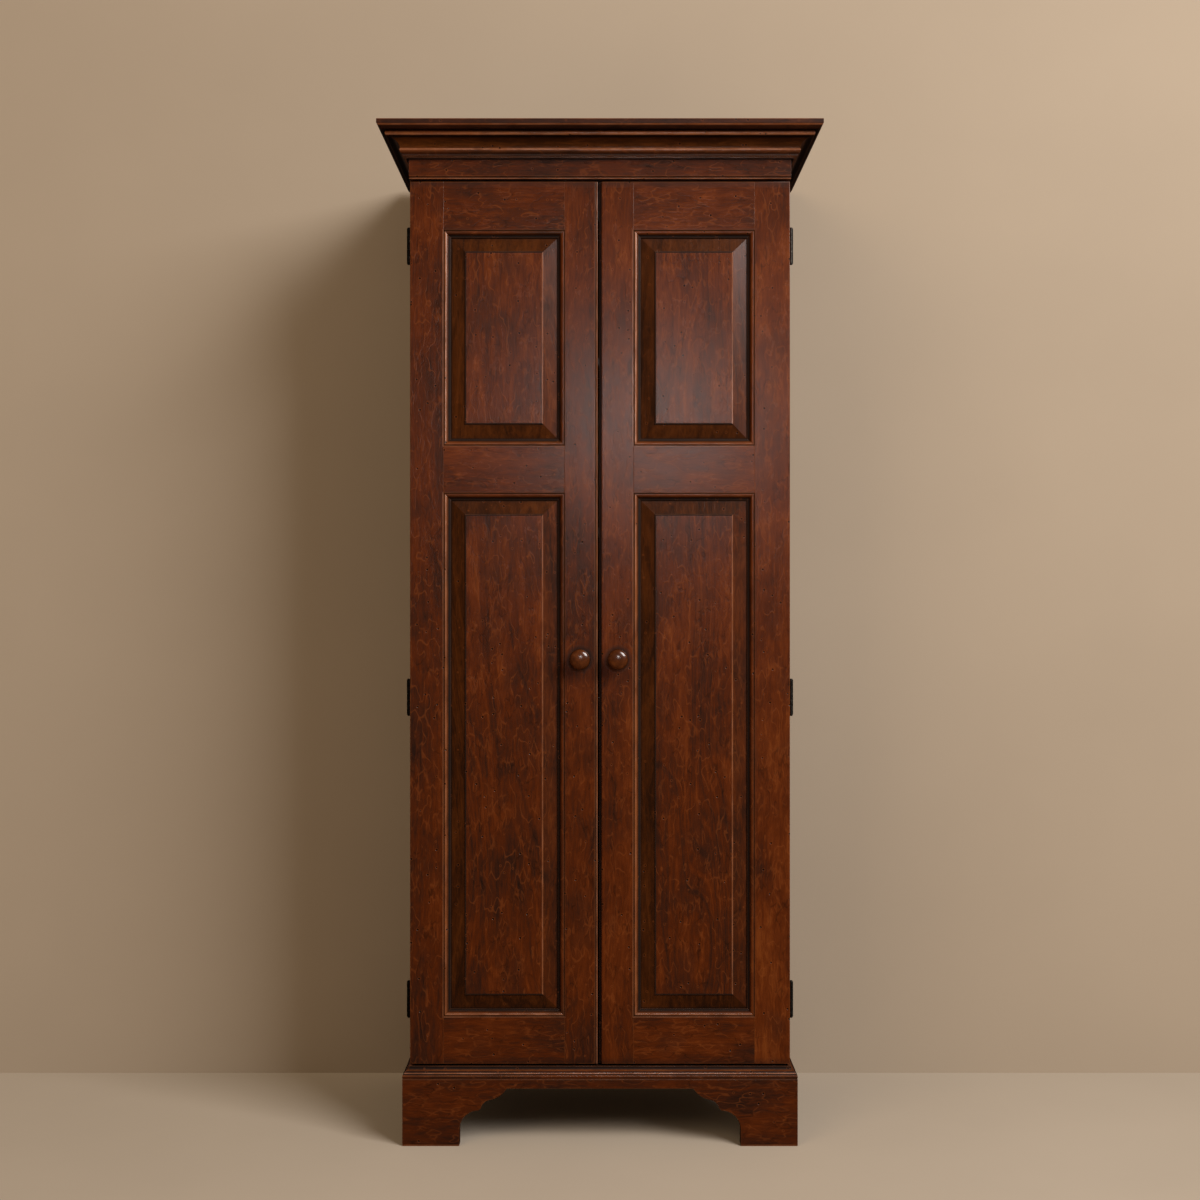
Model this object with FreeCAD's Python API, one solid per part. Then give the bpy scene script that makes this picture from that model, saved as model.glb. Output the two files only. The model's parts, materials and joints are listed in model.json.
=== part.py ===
import FreeCAD, Part
import math
import os

from FreeCAD import Vector

# Tall two-door cupboard in stained wood, in millimetres.
# +Z is up, the doors face -Y, X runs across the front and the floor is Z = 0.
# The origin is under the middle of the cabinet, half-way from the back to the crown's front edge.

# Driving sizes of the body
body_width = 709.8
body_depth = 445.0
overrun = 5.0
no_bulge_share = 0.0
quarter_bulge_share = math.tan(math.pi / 8)
half_round_bulge_share = 1.0

# The doors, from the hinge side to the meeting edge and from the bottom up
door_thickness = 22.0
case_gap = 1.0
left_door_edge = -4.2
meeting_gap = 3.0
left_hinge_stile_width = 62.8
left_meeting_stile_width = 61.9
right_hinge_stile_width = 66.2
bottom_rail_width = 88.7
lower_opening_height = 977.6
lock_rail_width = 88.7
upper_opening_height = 402.4
top_rail_width = 90.6
door_edge_ease = 1.2
meeting_bead = 3.0
meeting_quirk = 1.5
meeting_rebate = 4.5
meeting_rebate_depth = 6.0

# The moulded inner edge of the door frames, and the groove that holds the panels
sticking_width = 13.0
sticking_quirk = 1.5
sticking_quirk_depth = 1.7
sticking_ovolo_top = 0.5
sticking_ovolo_width = 7.2
sticking_ovolo_depth = 4.3
sticking_step = 1.3
sticking_lip_depth = 6.2
groove_front = 9.0
groove_width = 6.2
groove_depth = 10.0
tenon_length = 32.0
tenon_shoulder = 14.0

# The raised panels
panel_bevel_width = 27.0
panel_field_depth = 1.0
panel_field_step = 1.6
panel_play = 0.8
panel_tongue_play = 0.2
panel_thickness = 16.0
panel_back_margin = 3.0

# The case behind the doors
door_clearance_below = 3.4
door_clearance_above = 4.5
side_thickness = 19.0
face_frame_thickness = 20.0
face_stile_width = 45.0
face_top_rail_width = 55.0
face_bottom_rail_width = 45.0
face_tenon_length = 25.0
face_tenon_thickness = 7.0
face_tenon_shoulder = 8.0
bottom_board_thickness = 18.0
bottom_dado_depth = 6.0
top_board_thickness = 20.0
top_rebate_depth = 9.5

# The back is boarded with tongues and grooves
back_thickness = 10.0
back_rebate_width = 9.0
back_board_count = 5
back_tongue_length = 6.0
back_tongue_thickness = 3.4
back_tongue_play = 0.3
back_vee = 1.5

# The loose shelves and the pins they lie on
shelf_count = 4
shelf_thickness = 18.0
shelf_end_play = 1.0
shelf_front_setback = 6.0
shelf_back_play = 2.0
shelf_edge_radius = 4.0
pin_hole_radius = 2.5
pin_hole_depth = 11.0
pin_hole_pitch = 32.0
pin_play = 0.05
pin_stem_length = 10.0
pin_plate_thickness = 1.5
pin_plate_width = 9.0
pin_plate_height = 10.0
pin_tongue_length = 14.0
pin_inset = 37.0

# The frieze and the cornice
frieze_projection = 2.0
frieze_height = 80.5
frieze_bead = 3.6
frieze_quirk = 1.4
cornice_back_thickness = 19.0
cornice_block_size = 34.0
cornice_block_length = 90.0
cornice_block_place_share = 0.72
cornice_post_size = 38.0

# The crown moulding, each step out from the door face and up from its own foot
crown_fillet_projection = 7.0
crown_fillet_height = 3.2
crown_lip_foot_projection = 13.4
crown_lip_fillet_height = 3.6
crown_lip_quirk = 1.0
crown_lip_projection = 17.0
crown_lip_height = 10.6
crown_cove_projection = 36.2
crown_cove_height = 16.7
crown_cove_bulge_share = 0.34
crown_bead_projection = 40.0
crown_bead_height = 9.4
crown_lip_bulge_share = 0.5
crown_bead_bulge_share = 0.45

# The cap is one wide board with a moulded edge on three sides
cap_thickness = 17.5
cap_projection = 56.0
cap_foot_projection = 46.0
cap_face_height = 7.5
cap_edge_ease = 1.2
cap_edge_bulge_share = 0.22

# The moulded frame that the case stands on
base_frame_thickness = 21.1
base_frame_width = 60.0
base_projection = 13.0
base_fillet_projection = 1.6
base_fillet_height = 3.5
base_cove_projection = 5.0
base_cove_height = 3.8
base_ovolo_projection = 10.0
base_ovolo_height = 5.1
base_quirk = 0.6
base_round_height = 4.4
base_ease = 0.8
base_curve_bulge_share = 0.36

# The bracket base boards and their shaped cut-out, measured in from each foot's outer corner.
# The side boards are shorter, so their brackets are smaller.
base_board_height = 125.0
base_board_thickness = 25.0
foot_width = 106.0
apron_drop = 18.0
ogee_width = 88.0
ogee_swell_width = 32.0
ogee_swell_height = 21.0
ogee_swell_bulge_share = 0.23
ogee_hollow = 16.0
ogee_hollow_bulge_share = 0.3
ogee_cusp_height = 3.6
ogee_round = 36.0
front_bracket_share = 1.0
side_bracket_share = 0.85
back_rail_height = 62.0
back_rail_thickness = 22.0
base_block_size = 40.0
base_block_lift = 6.0

# The butt hinges, three to a door
hinge_height = 66.0
hinge_leaf_width = 24.0
hinge_leaf_thickness = 2.0
hinge_knuckle_radius = 4.0
hinge_knuckle_count = 5
hinge_knuckle_gap = 0.2
hinge_side_gap = 0.3
hinge_pin_radius = 2.0
hinge_pin_play = 0.05
hinge_tip_radius = 3.0
hinge_tip_height = 2.0
hinge_end_inset = 116.0
hinge_middle_height = 683.5
hinge_screw_spacing = 22.0
hinge_screw_stagger = 3.5

# Countersunk wood screws
screw_head_radius = 3.4
screw_head_height = 1.7
screw_shank_radius = 1.7
screw_length = 13.0
screw_play = 0.05
slot_width = 0.8
slot_depth = 0.6

# The turned knobs and the screws that hold them from behind
knob_radius = 19.3
knob_foot_radius = 10.0
knob_foot_height = 2.5
knob_neck_radius = 7.6
knob_neck_height = 8.5
knob_rim_height = 24.4
knob_shoulder_height = 5.2
knob_dome_radius = 17.0
knob_dome_rise = 4.4
knob_length = knob_rim_height + knob_shoulder_height + knob_dome_rise
knob_shoulder_bulge_share = math.tan(
    math.atan((knob_radius - knob_dome_radius) / knob_shoulder_height) / 2)
knob_dome_bulge_share = math.tan(math.atan(knob_dome_rise / knob_dome_radius) / 2)
knob_height = 905.8
knob_screw_radius = 2.2
knob_screw_grip = 15.0
knob_screw_play = 0.1
knob_screw_head_radius = 5.0
knob_screw_head_height = 2.4

# The magnetic catch under the top rail and the plates on the doors
catch_width = 64.0
catch_height = 16.0
catch_depth = 19.0
catch_ease = 2.0
catch_screw_inset = 6.0
strike_width = 20.0
strike_height = 12.0
strike_thickness = 1.5
strike_proud = 0.6

# Places that follow from the sizes above. Both doors have equal panels, so the right meeting stile
# takes what is left.
half_width = body_width / 2
total_depth = body_depth + cap_projection
back_y = total_depth / 2
door_face_y = back_y - body_depth
door_height = (bottom_rail_width + lower_opening_height + lock_rail_width
               + upper_opening_height + top_rail_width)
panel_opening_width = (half_width + left_door_edge - left_hinge_stile_width
                       - left_meeting_stile_width)
frame_depth = door_thickness + case_gap
case_depth = frame_depth + face_frame_thickness
case_foot = base_board_height + base_frame_thickness
door_foot = case_foot + door_clearance_below
door_head = door_foot + door_height
case_head = door_head + door_clearance_above
cap_foot = case_head + frieze_height
cabinet_height = cap_foot + cap_thickness
side_inner = half_width - side_thickness
back_face = back_y - back_thickness
floor_top = case_foot + face_bottom_rail_width
ceiling = case_head - top_board_thickness
face_opening = half_width - face_stile_width
face_opening_head = case_head - face_top_rail_width
hinge_x = half_width + hinge_side_gap + hinge_knuckle_radius
hinge_depth = door_thickness + case_gap / 2
hinge_heights = (
    door_foot + hinge_end_inset,
    door_foot + hinge_middle_height,
    door_head - hinge_end_inset,
)
doors = {
    "left": {
        "side": -1,
        "width": half_width + left_door_edge,
        "hinge_stile": left_hinge_stile_width,
        "flat_end": meeting_bead + meeting_quirk,
    },
    "right": {
        "side": 1,
        "width": half_width - left_door_edge - meeting_gap,
        "hinge_stile": right_hinge_stile_width,
        "flat_end": meeting_rebate,
    },
}


def depth_y(depth):
    """The Y of a plane this far behind the face of the doors."""
    return door_face_y + depth


def block(x_low, x_high, y_low, y_high, z_low, z_high):
    corner = Vector(min(x_low, x_high), min(y_low, y_high), min(z_low, z_high))
    return Part.makeBox(abs(x_high - x_low), abs(y_high - y_low), abs(z_high - z_low), corner)


def rod(radius, length, foot, direction):
    return Part.makeCylinder(radius, length, foot, direction)


def outline_face(outline, place):
    """A face from points (a, b, bulge), where bulge shapes the edge that leads to the next point.

    The bulge is the rise of the arc over half its chord, positive to the right of the way along."""
    edges = []
    for index, (a, b, bulge) in enumerate(outline):
        next_a, next_b, _ = outline[(index + 1) % len(outline)]
        start = place(a, b)
        end = place(next_a, next_b)
        if bulge:
            half_a = (next_a - a) / 2
            half_b = (next_b - b) / 2
            middle = place(a + half_a + half_b * bulge, b + half_b - half_a * bulge)
            edges.append(Part.Arc(start, middle, end).toShape())
        else:
            edges.append(Part.LineSegment(start, end).toShape())
    return Part.Face(Part.Wire(edges))


def corner_points(pairs):
    return [(a, b, no_bulge_share) for a, b in pairs]


def mirrored(outline, middle):
    """An outline seen in a mirror and walked backwards, so that it can follow the first half."""
    turned = []
    for index in range(len(outline) - 1, -1, -1):
        a, b, _ = outline[index]
        bulge = outline[index - 1][2] if index else no_bulge_share
        turned.append((2 * middle - a, b, bulge))
    return turned


def along_x(outline, x_low, x_high):
    """Sweeps an outline of (Y, Z) points along X."""
    face = outline_face(outline, lambda y, z: Vector(x_low, y, z))
    return face.extrude(Vector(x_high - x_low, 0, 0))


def along_y(outline, y_low, y_high):
    """Sweeps an outline of (X, Z) points along Y."""
    face = outline_face(outline, lambda x, z: Vector(x, y_low, z))
    return face.extrude(Vector(0, y_high - y_low, 0))


def along_z(outline, z_low, z_high):
    """Sweeps an outline of (X, Y) points along Z."""
    face = outline_face(outline, lambda x, y: Vector(x, y, z_low))
    return face.extrude(Vector(0, 0, z_high - z_low))


def joined(shapes):
    whole = shapes[0].fuse(shapes[1:]) if len(shapes) > 1 else shapes[0]
    return whole.removeSplitter()


def without(shape, cuts):
    return shape.cut(cuts).removeSplitter()


def save(name, shape):
    shape.exportStep(f"parts/{name}.step")


def save_group(name, shapes):
    save(name, Part.makeCompound(shapes))


# Mitred strips that run round the front and both sides of the body
def front_strip(outline):
    """A strip across the front with mitred ends. Its outline is in (projection, height)."""
    reach = max(a for a, _, _ in outline) + overrun
    inset = -min(a for a, _, _ in outline)
    swept = along_x([(door_face_y - a, z, -bulge) for a, z, bulge in outline],
                    -half_width - reach, half_width + reach)
    low, high = height_range(outline)
    mitre = along_z(corner_points([
        (-half_width - reach, door_face_y - reach),
        (half_width + reach, door_face_y - reach),
        (half_width - inset, door_face_y + inset),
        (inset - half_width, door_face_y + inset),
    ]), low - overrun, high + overrun)
    return swept.common(mitre).removeSplitter()


def side_strip(outline, side):
    """A strip along one side, mitred at the front and square at the back."""
    reach = max(a for a, _, _ in outline) + overrun
    inset = -min(a for a, _, _ in outline)
    swept = along_y([(side * (half_width + a), z, side * bulge) for a, z, bulge in outline],
                    door_face_y - reach, back_y)
    low, high = height_range(outline)
    mitre = along_z(corner_points([
        (side * (half_width + reach), door_face_y - reach),
        (side * (half_width + reach), back_y + overrun),
        (side * (half_width - inset), back_y + overrun),
        (side * (half_width - inset), door_face_y + inset),
    ]), low - overrun, high + overrun)
    return swept.common(mitre).removeSplitter()


def height_range(outline):
    heights = [z for _, z, _ in outline]
    return min(heights), max(heights)


# Screws
def wood_screw(foot, direction, play=0.0):
    """A countersunk screw, or the hole for one when it is given play. The foot is on the surface."""
    head = Part.makeCone(screw_head_radius + play, screw_shank_radius + play, screw_head_height,
                         foot, direction)
    shank = rod(screw_shank_radius + play, screw_length + play, foot, direction)
    return joined([head, shank])


def slotted(screw, foot, direction):
    """Cuts the driver's slot across a screw's head."""
    if abs(direction.z):
        slot = block(foot.x - screw_head_radius, foot.x + screw_head_radius,
                     foot.y - slot_width / 2, foot.y + slot_width / 2,
                     foot.z - slot_depth, foot.z + slot_depth)
    else:
        slot = block(foot.x - screw_head_radius, foot.x + screw_head_radius,
                     foot.y - slot_depth, foot.y + slot_depth,
                     foot.z - slot_width / 2, foot.z + slot_width / 2)
    return without(screw, [slot])


# Hinges
def knuckle_levels(leaf_is_on_case):
    """The heights, from a hinge's middle, of the knuckles that belong to one leaf."""
    length = (hinge_height - hinge_knuckle_gap * (hinge_knuckle_count - 1)) / hinge_knuckle_count
    first = 0 if leaf_is_on_case else 1
    levels = []
    for index in range(first, hinge_knuckle_count, 2):
        low = index * (length + hinge_knuckle_gap) - hinge_height / 2
        levels.append((low, low + length))
    return levels


def leaf_depths(leaf_is_on_case):
    if leaf_is_on_case:
        return frame_depth, frame_depth + hinge_leaf_thickness
    return door_thickness - hinge_leaf_thickness, door_thickness


def hinge_leaf(side, height, leaf_is_on_case):
    near, far = leaf_depths(leaf_is_on_case)
    plate = block(side * (half_width - hinge_leaf_width), side * half_width,
                  depth_y(near), depth_y(far), height - hinge_height / 2, height + hinge_height / 2)
    pieces = [plate]
    bores = []
    for low, high in knuckle_levels(leaf_is_on_case):
        foot = Vector(side * hinge_x, depth_y(hinge_depth), height + low)
        pieces.append(rod(hinge_knuckle_radius, high - low, foot, Vector(0, 0, 1)))
        pieces.append(block(side * half_width, side * hinge_x, depth_y(near), depth_y(far),
                            height + low, height + high))
        bores.append(rod(hinge_pin_radius + hinge_pin_play, high - low, foot, Vector(0, 0, 1)))
    holes = [wood_screw(foot, direction, screw_play)
             for foot, direction in hinge_screws(side, height, leaf_is_on_case)]
    return without(joined(pieces), bores + holes)


def hinge_gain(side, height, leaf_is_on_case):
    """The shallow housing cut in the wood for a leaf."""
    near, far = leaf_depths(leaf_is_on_case)
    return block(side * (half_width - hinge_leaf_width), side * (half_width + overrun),
                 depth_y(near), depth_y(far), height - hinge_height / 2, height + hinge_height / 2)


def hinge_screws(side, height, leaf_is_on_case):
    direction = Vector(0, 1, 0) if leaf_is_on_case else Vector(0, -1, 0)
    depth = frame_depth if leaf_is_on_case else door_thickness
    places = []
    for step in (-1, 0, 1):
        stagger = hinge_screw_stagger if step else -hinge_screw_stagger
        across = half_width - hinge_leaf_width / 2 + stagger
        foot = Vector(side * across, depth_y(depth), height + step * hinge_screw_spacing)
        places.append((foot, direction))
    return places


def hinge_pin(side, height):
    foot = Vector(side * hinge_x, depth_y(hinge_depth), height - hinge_height / 2)
    pin = rod(hinge_pin_radius, hinge_height, foot, Vector(0, 0, 1))
    tips = []
    for way in (-1, 1):
        seat = Vector(foot.x, foot.y, height + way * hinge_height / 2)
        disc = rod(hinge_tip_radius, hinge_tip_height, seat, Vector(0, 0, way))
        rim = [edge for edge in disc.Edges
               if abs(edge.BoundBox.Center.z - seat.z - way * hinge_tip_height) < hinge_pin_play
               and edge.BoundBox.XLength > hinge_tip_radius]
        tips.append(disc.makeFillet(hinge_tip_height / 2, rim[:1]))
    return joined([pin] + tips)


def door_screws_and_leaves(name):
    side = doors[name]["side"]
    leaves = [hinge_leaf(side, height, False) for height in hinge_heights]
    save_group(f"hinge_leaves_{name}", leaves)
    screws = []
    for height in hinge_heights:
        for foot, direction in hinge_screws(side, height, False):
            screws.append(slotted(wood_screw(foot, direction), foot, direction))
    save_group(f"hinge_screws_{name}", screws)


# Doors
def door_x(name, across):
    """The X of a line this far in from a door's hinge edge."""
    return doors[name]["side"] * (half_width - across)


def door_block(name, across_low, across_high, depth_low, depth_high, z_low, z_high):
    return block(door_x(name, across_low), door_x(name, across_high),
                 depth_y(depth_low), depth_y(depth_high), z_low, z_high)


def door_column(name, outline, z_low, z_high):
    """Sweeps an outline of (distance from the hinge edge, depth) up the door."""
    side = doors[name]["side"]
    return along_z([(door_x(name, a), depth_y(b), -side * bulge) for a, b, bulge in outline],
                   z_low, z_high)


def door_beam(name, outline, across_low, across_high):
    """Sweeps an outline of (height, depth) across the door."""
    turned = [(depth_y(b), a, -bulge) for a, b, bulge in outline]
    return along_x(turned, door_x(name, across_low), door_x(name, across_high))


def meeting_edge(name):
    """The points of a door's front corner at the meeting edge, in (distance, depth)."""
    width = doors[name]["width"]
    if name == "left":
        depth = meeting_bead / 2
        return [
            (width - meeting_bead - meeting_quirk, 0.0, no_bulge_share),
            (width - meeting_bead - meeting_quirk, depth, no_bulge_share),
            (width - meeting_bead, depth, half_round_bulge_share),
            (width, depth, no_bulge_share),
        ]
    return [
        (width - meeting_rebate - door_edge_ease, 0.0, quarter_bulge_share),
        (width - meeting_rebate, door_edge_ease, no_bulge_share),
        (width - meeting_rebate, meeting_rebate_depth, no_bulge_share),
        (width, meeting_rebate_depth, no_bulge_share),
    ]


def door_blank(name):
    """The whole door as a slab with eased front edges and its meeting edge worked."""
    width = doors[name]["width"]
    column = [(0.0, door_edge_ease, quarter_bulge_share), (door_edge_ease, 0.0, no_bulge_share)]
    column += meeting_edge(name)
    column += corner_points([(width, door_thickness), (0.0, door_thickness)])
    beam = [
        (door_foot, door_edge_ease, quarter_bulge_share),
        (door_foot + door_edge_ease, 0.0, no_bulge_share),
        (door_head - door_edge_ease, 0.0, quarter_bulge_share),
        (door_head, door_edge_ease, no_bulge_share),
        (door_head, door_thickness, no_bulge_share),
        (door_foot, door_thickness, no_bulge_share),
    ]
    return door_column(name, column, door_foot, door_head).common(
        door_beam(name, beam, 0.0, width))


def sticking_outline(edge, way):
    """The moulded edge and panel groove, from a flat's edge at 'edge', growing 'way' (1 or -1)."""
    ovolo_foot = sticking_quirk + sticking_ovolo_width
    shape = [
        (0.0, 0.0, no_bulge_share),
        (sticking_quirk / 3, sticking_quirk_depth, no_bulge_share),
        (sticking_quirk * 2 / 3, sticking_quirk_depth, no_bulge_share),
        (sticking_quirk, sticking_ovolo_top, quarter_bulge_share),
        (ovolo_foot, sticking_ovolo_depth, no_bulge_share),
        (ovolo_foot, sticking_ovolo_depth + sticking_step, no_bulge_share),
        (sticking_width, sticking_lip_depth, no_bulge_share),
        (sticking_width, groove_front, no_bulge_share),
        (sticking_width - groove_depth, groove_front, no_bulge_share),
        (sticking_width - groove_depth, groove_front + groove_width, no_bulge_share),
        (sticking_width, groove_front + groove_width, no_bulge_share),
        (sticking_width, door_thickness, no_bulge_share),
        (0.0, door_thickness, no_bulge_share),
    ]
    return [(edge + way * a, b, way * bulge) for a, b, bulge in shape]


def openings(name):
    """Each panel opening of a door as (near side, far side, bottom, top)."""
    near = doors[name]["hinge_stile"]
    far = near + panel_opening_width
    lower = door_foot + bottom_rail_width
    upper = lower + lower_opening_height + lock_rail_width
    return {
        "lower": (near, far, lower, lower + lower_opening_height),
        "upper": (near, far, upper, upper + upper_opening_height),
    }


def mitre_wedge(name, pairs):
    """Cuts a strip's ends at 45 degrees. The pairs are (distance from the hinge edge, height)."""
    placed = corner_points([(door_x(name, a), z) for a, z in pairs])
    return along_y(placed, depth_y(-overrun), depth_y(door_thickness + overrun))


def upright_sticking(name, edge, way, bottom, top):
    strip = door_column(name, sticking_outline(edge, way), bottom, top)
    inner = edge + way * sticking_width
    return strip.common(mitre_wedge(name, [
        (edge, bottom), (inner, bottom + sticking_width), (inner, top - sticking_width), (edge, top)]))


def level_sticking(name, edge, way, near, far):
    strip = door_beam(name, sticking_outline(edge, way), near, far)
    inner = edge + way * sticking_width
    return strip.common(mitre_wedge(name, [
        (near, edge), (near + sticking_width, inner), (far - sticking_width, inner), (far, edge)]))


def tenon(name, near, far, bottom, top, play):
    return door_block(name, near, far, groove_front + panel_tongue_play - play,
                      groove_front + groove_width - panel_tongue_play + play,
                      bottom + tenon_shoulder - play, top - tenon_shoulder + play)


def rails(name):
    """Each rail of a door as (bottom, top, whether an opening lies below, whether one lies above)."""
    holes = openings(name)
    return {
        "bottom_rail": (door_foot, holes["lower"][2], False, True),
        "lock_rail": (holes["lower"][3], holes["upper"][2], True, True),
        "top_rail": (holes["upper"][3], door_head, True, False),
    }


def make_rails(name, blank):
    near, far, _, _ = openings(name)["lower"]
    for rail, (bottom, top, opens_below, opens_above) in rails(name).items():
        pieces = [door_block(name, near, far, 0.0, door_thickness, bottom, top)]
        if opens_below:
            pieces.append(level_sticking(name, bottom, -1, near, far))
        if opens_above:
            pieces.append(level_sticking(name, top, 1, near, far))
        body = blank.common(joined(pieces))
        ends = [tenon(name, near - tenon_length, near, bottom, top, 0.0),
                tenon(name, far, far + tenon_length, bottom, top, 0.0)]
        save(f"{rail}_{name}", joined([body] + ends))


def make_stiles(name, blank):
    near, far, _, _ = openings(name)["lower"]
    width = doors[name]["width"]
    side = doors[name]["side"]
    hinge_side = [door_block(name, 0.0, near, 0.0, door_thickness, door_foot, door_head)]
    meeting_side = [door_block(name, far, width, 0.0, door_thickness, door_foot, door_head)]
    for _, _, bottom, top in openings(name).values():
        hinge_side.append(upright_sticking(name, near, 1, bottom, top))
        meeting_side.append(upright_sticking(name, far, -1, bottom, top))
    mortises = []
    for bottom, top, _, _ in rails(name).values():
        reach = tenon_length + panel_play
        mortises.append(tenon(name, near - reach, near, bottom, top, panel_tongue_play))
        mortises.append(tenon(name, far, far + reach, bottom, top, panel_tongue_play))
    gains = [hinge_gain(side, height, False) for height in hinge_heights]
    for height in hinge_heights:
        gains += [wood_screw(foot, direction, screw_play)
                  for foot, direction in hinge_screws(side, height, False)]
    fittings = [knob_screw_hole(name), strike_recess(name)]
    fittings += [wood_screw(foot, direction, screw_play) for foot, direction in [strike_screw(name)]]
    save(f"hinge_stile_{name}", without(blank.common(joined(hinge_side)), mortises + gains))
    save(f"meeting_stile_{name}", without(blank.common(joined(meeting_side)), mortises + fittings))


def panel_outline(low, high):
    """A raised panel's section across one way, in (distance, depth)."""
    tongue_front = groove_front + panel_tongue_play
    tongue_back = groove_front + groove_width - panel_tongue_play
    hidden = sticking_width - groove_depth + panel_play
    half = [
        (hidden, tongue_back),
        (hidden, tongue_front),
        (sticking_width, tongue_front),
        (sticking_width + panel_bevel_width, panel_field_depth + panel_field_step),
        (sticking_width + panel_bevel_width, panel_field_depth),
    ]
    back = [
        (sticking_width + panel_back_margin, panel_field_depth + panel_thickness),
        (sticking_width + panel_back_margin, tongue_back),
    ]
    pairs = [(low + a, b) for a, b in half]
    pairs += [(high - a, b) for a, b in reversed(half)]
    pairs += [(high - a, b) for a, b in reversed(back)]
    pairs += [(low + a, b) for a, b in back]
    return corner_points(pairs)


def make_panels(name):
    for place, (near, far, bottom, top) in openings(name).items():
        column = door_column(name, panel_outline(near, far), bottom, top)
        beam = door_beam(name, panel_outline(bottom, top), near, far)
        save(f"{place}_panel_{name}", column.common(beam).removeSplitter())


# Knobs, centred on the flat of each meeting stile
def knob_across(name):
    _, far, _, _ = openings(name)["lower"]
    return (far + doors[name]["width"] - doors[name]["flat_end"]) / 2


def knob_screw_foot(name, depth):
    return Vector(door_x(name, knob_across(name)), depth_y(depth), knob_height)


def knob_screw_hole(name):
    foot = knob_screw_foot(name, door_thickness)
    return rod(knob_screw_radius + knob_screw_play, door_thickness, foot, Vector(0, -1, 0))


def make_knob(name):
    outline = [
        (0.0, 0.0, no_bulge_share),
        (knob_foot_radius, 0.0, no_bulge_share),
        (knob_foot_radius, knob_foot_height, -quarter_bulge_share),
        (knob_neck_radius, knob_neck_height, -quarter_bulge_share / 2),
        (knob_radius - knob_foot_height, knob_rim_height - knob_foot_height, quarter_bulge_share),
        (knob_radius, knob_rim_height, knob_shoulder_bulge_share),
        (knob_dome_radius, knob_rim_height + knob_shoulder_height, knob_dome_bulge_share),
        (0.0, knob_length, no_bulge_share),
    ]
    foot = knob_screw_foot(name, 0.0)
    half = outline_face(outline, lambda r, h: Vector(foot.x + r, foot.y - h, foot.z))
    turned = half.revolve(foot, Vector(0, 1, 0), 360)
    bore = rod(knob_screw_radius + knob_screw_play, knob_screw_grip + knob_screw_play, foot,
               Vector(0, -1, 0))
    save(f"knob_{name}", without(turned, [bore]))
    back = knob_screw_foot(name, door_thickness)
    shank = rod(knob_screw_radius, door_thickness + knob_screw_grip, back, Vector(0, -1, 0))
    head = rod(knob_screw_head_radius, knob_screw_head_height, back, Vector(0, 1, 0))
    slot = block(back.x - knob_screw_head_radius, back.x + knob_screw_head_radius,
                 back.y + knob_screw_head_height - slot_depth,
                 back.y + knob_screw_head_height + slot_depth,
                 back.z - slot_width / 2, back.z + slot_width / 2)
    save(f"knob_screw_{name}", without(joined([shank, head]), [slot]))


# The steel plates that the catch holds
def strike_across(name):
    return doors[name]["width"] - doors[name]["flat_end"] - strike_width / 2 - catch_screw_inset


def strike_height_middle():
    return face_opening_head - catch_height / 2


def strike_depths():
    face = door_thickness + strike_proud
    return face - strike_thickness, face


def strike_plate(name):
    near, far = strike_depths()
    middle = strike_across(name)
    return door_block(name, middle - strike_width / 2, middle + strike_width / 2, near, far,
                      strike_height_middle() - strike_height / 2,
                      strike_height_middle() + strike_height / 2)


def strike_recess(name):
    near, _ = strike_depths()
    middle = strike_across(name)
    return door_block(name, middle - strike_width / 2, middle + strike_width / 2, near,
                      door_thickness + overrun, strike_height_middle() - strike_height / 2,
                      strike_height_middle() + strike_height / 2)


def strike_screw(name):
    _, far = strike_depths()
    foot = Vector(door_x(name, strike_across(name)), depth_y(far), strike_height_middle())
    return foot, Vector(0, -1, 0)


def make_strike(name):
    foot, direction = strike_screw(name)
    plate = without(strike_plate(name), [wood_screw(foot, direction, screw_play)])
    screw = slotted(wood_screw(foot, direction), foot, direction)
    save_group(f"strike_{name}", [plate, screw])


def make_door(name):
    blank = door_blank(name)
    make_stiles(name, blank)
    make_rails(name, blank)
    make_panels(name)
    make_knob(name)
    make_strike(name)
    door_screws_and_leaves(name)


# Shelves and their pins
def shelf_heights():
    """The underside of each shelf, with equal spaces between floor, shelves and ceiling."""
    space = (ceiling - floor_top - shelf_count * shelf_thickness) / (shelf_count + 1)
    return [floor_top + space * (index + 1) + shelf_thickness * index
            for index in range(shelf_count)]


def shelf_front():
    return depth_y(case_depth + shelf_front_setback)


def shelf_back():
    return back_face - shelf_back_play


def pin_rows():
    return shelf_front() + pin_inset, shelf_back() - pin_inset


def pin_centre(shelf_foot):
    return shelf_foot - pin_plate_height / 2


def make_shelves():
    pins = []
    for index, foot in enumerate(shelf_heights()):
        outline = [
            (shelf_front(), foot, no_bulge_share),
            (shelf_back(), foot, no_bulge_share),
            (shelf_back(), foot + shelf_thickness, no_bulge_share),
            (shelf_front() + shelf_edge_radius, foot + shelf_thickness, quarter_bulge_share),
            (shelf_front(), foot + shelf_thickness - shelf_edge_radius, no_bulge_share),
        ]
        reach = side_inner - shelf_end_play
        save(f"shelf_{index + 1}", along_x(outline, -reach, reach))
        for side in (-1, 1):
            pins += [shelf_pin(side, y, foot) for y in pin_rows()]
    save_group("shelf_pins", pins)


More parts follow.
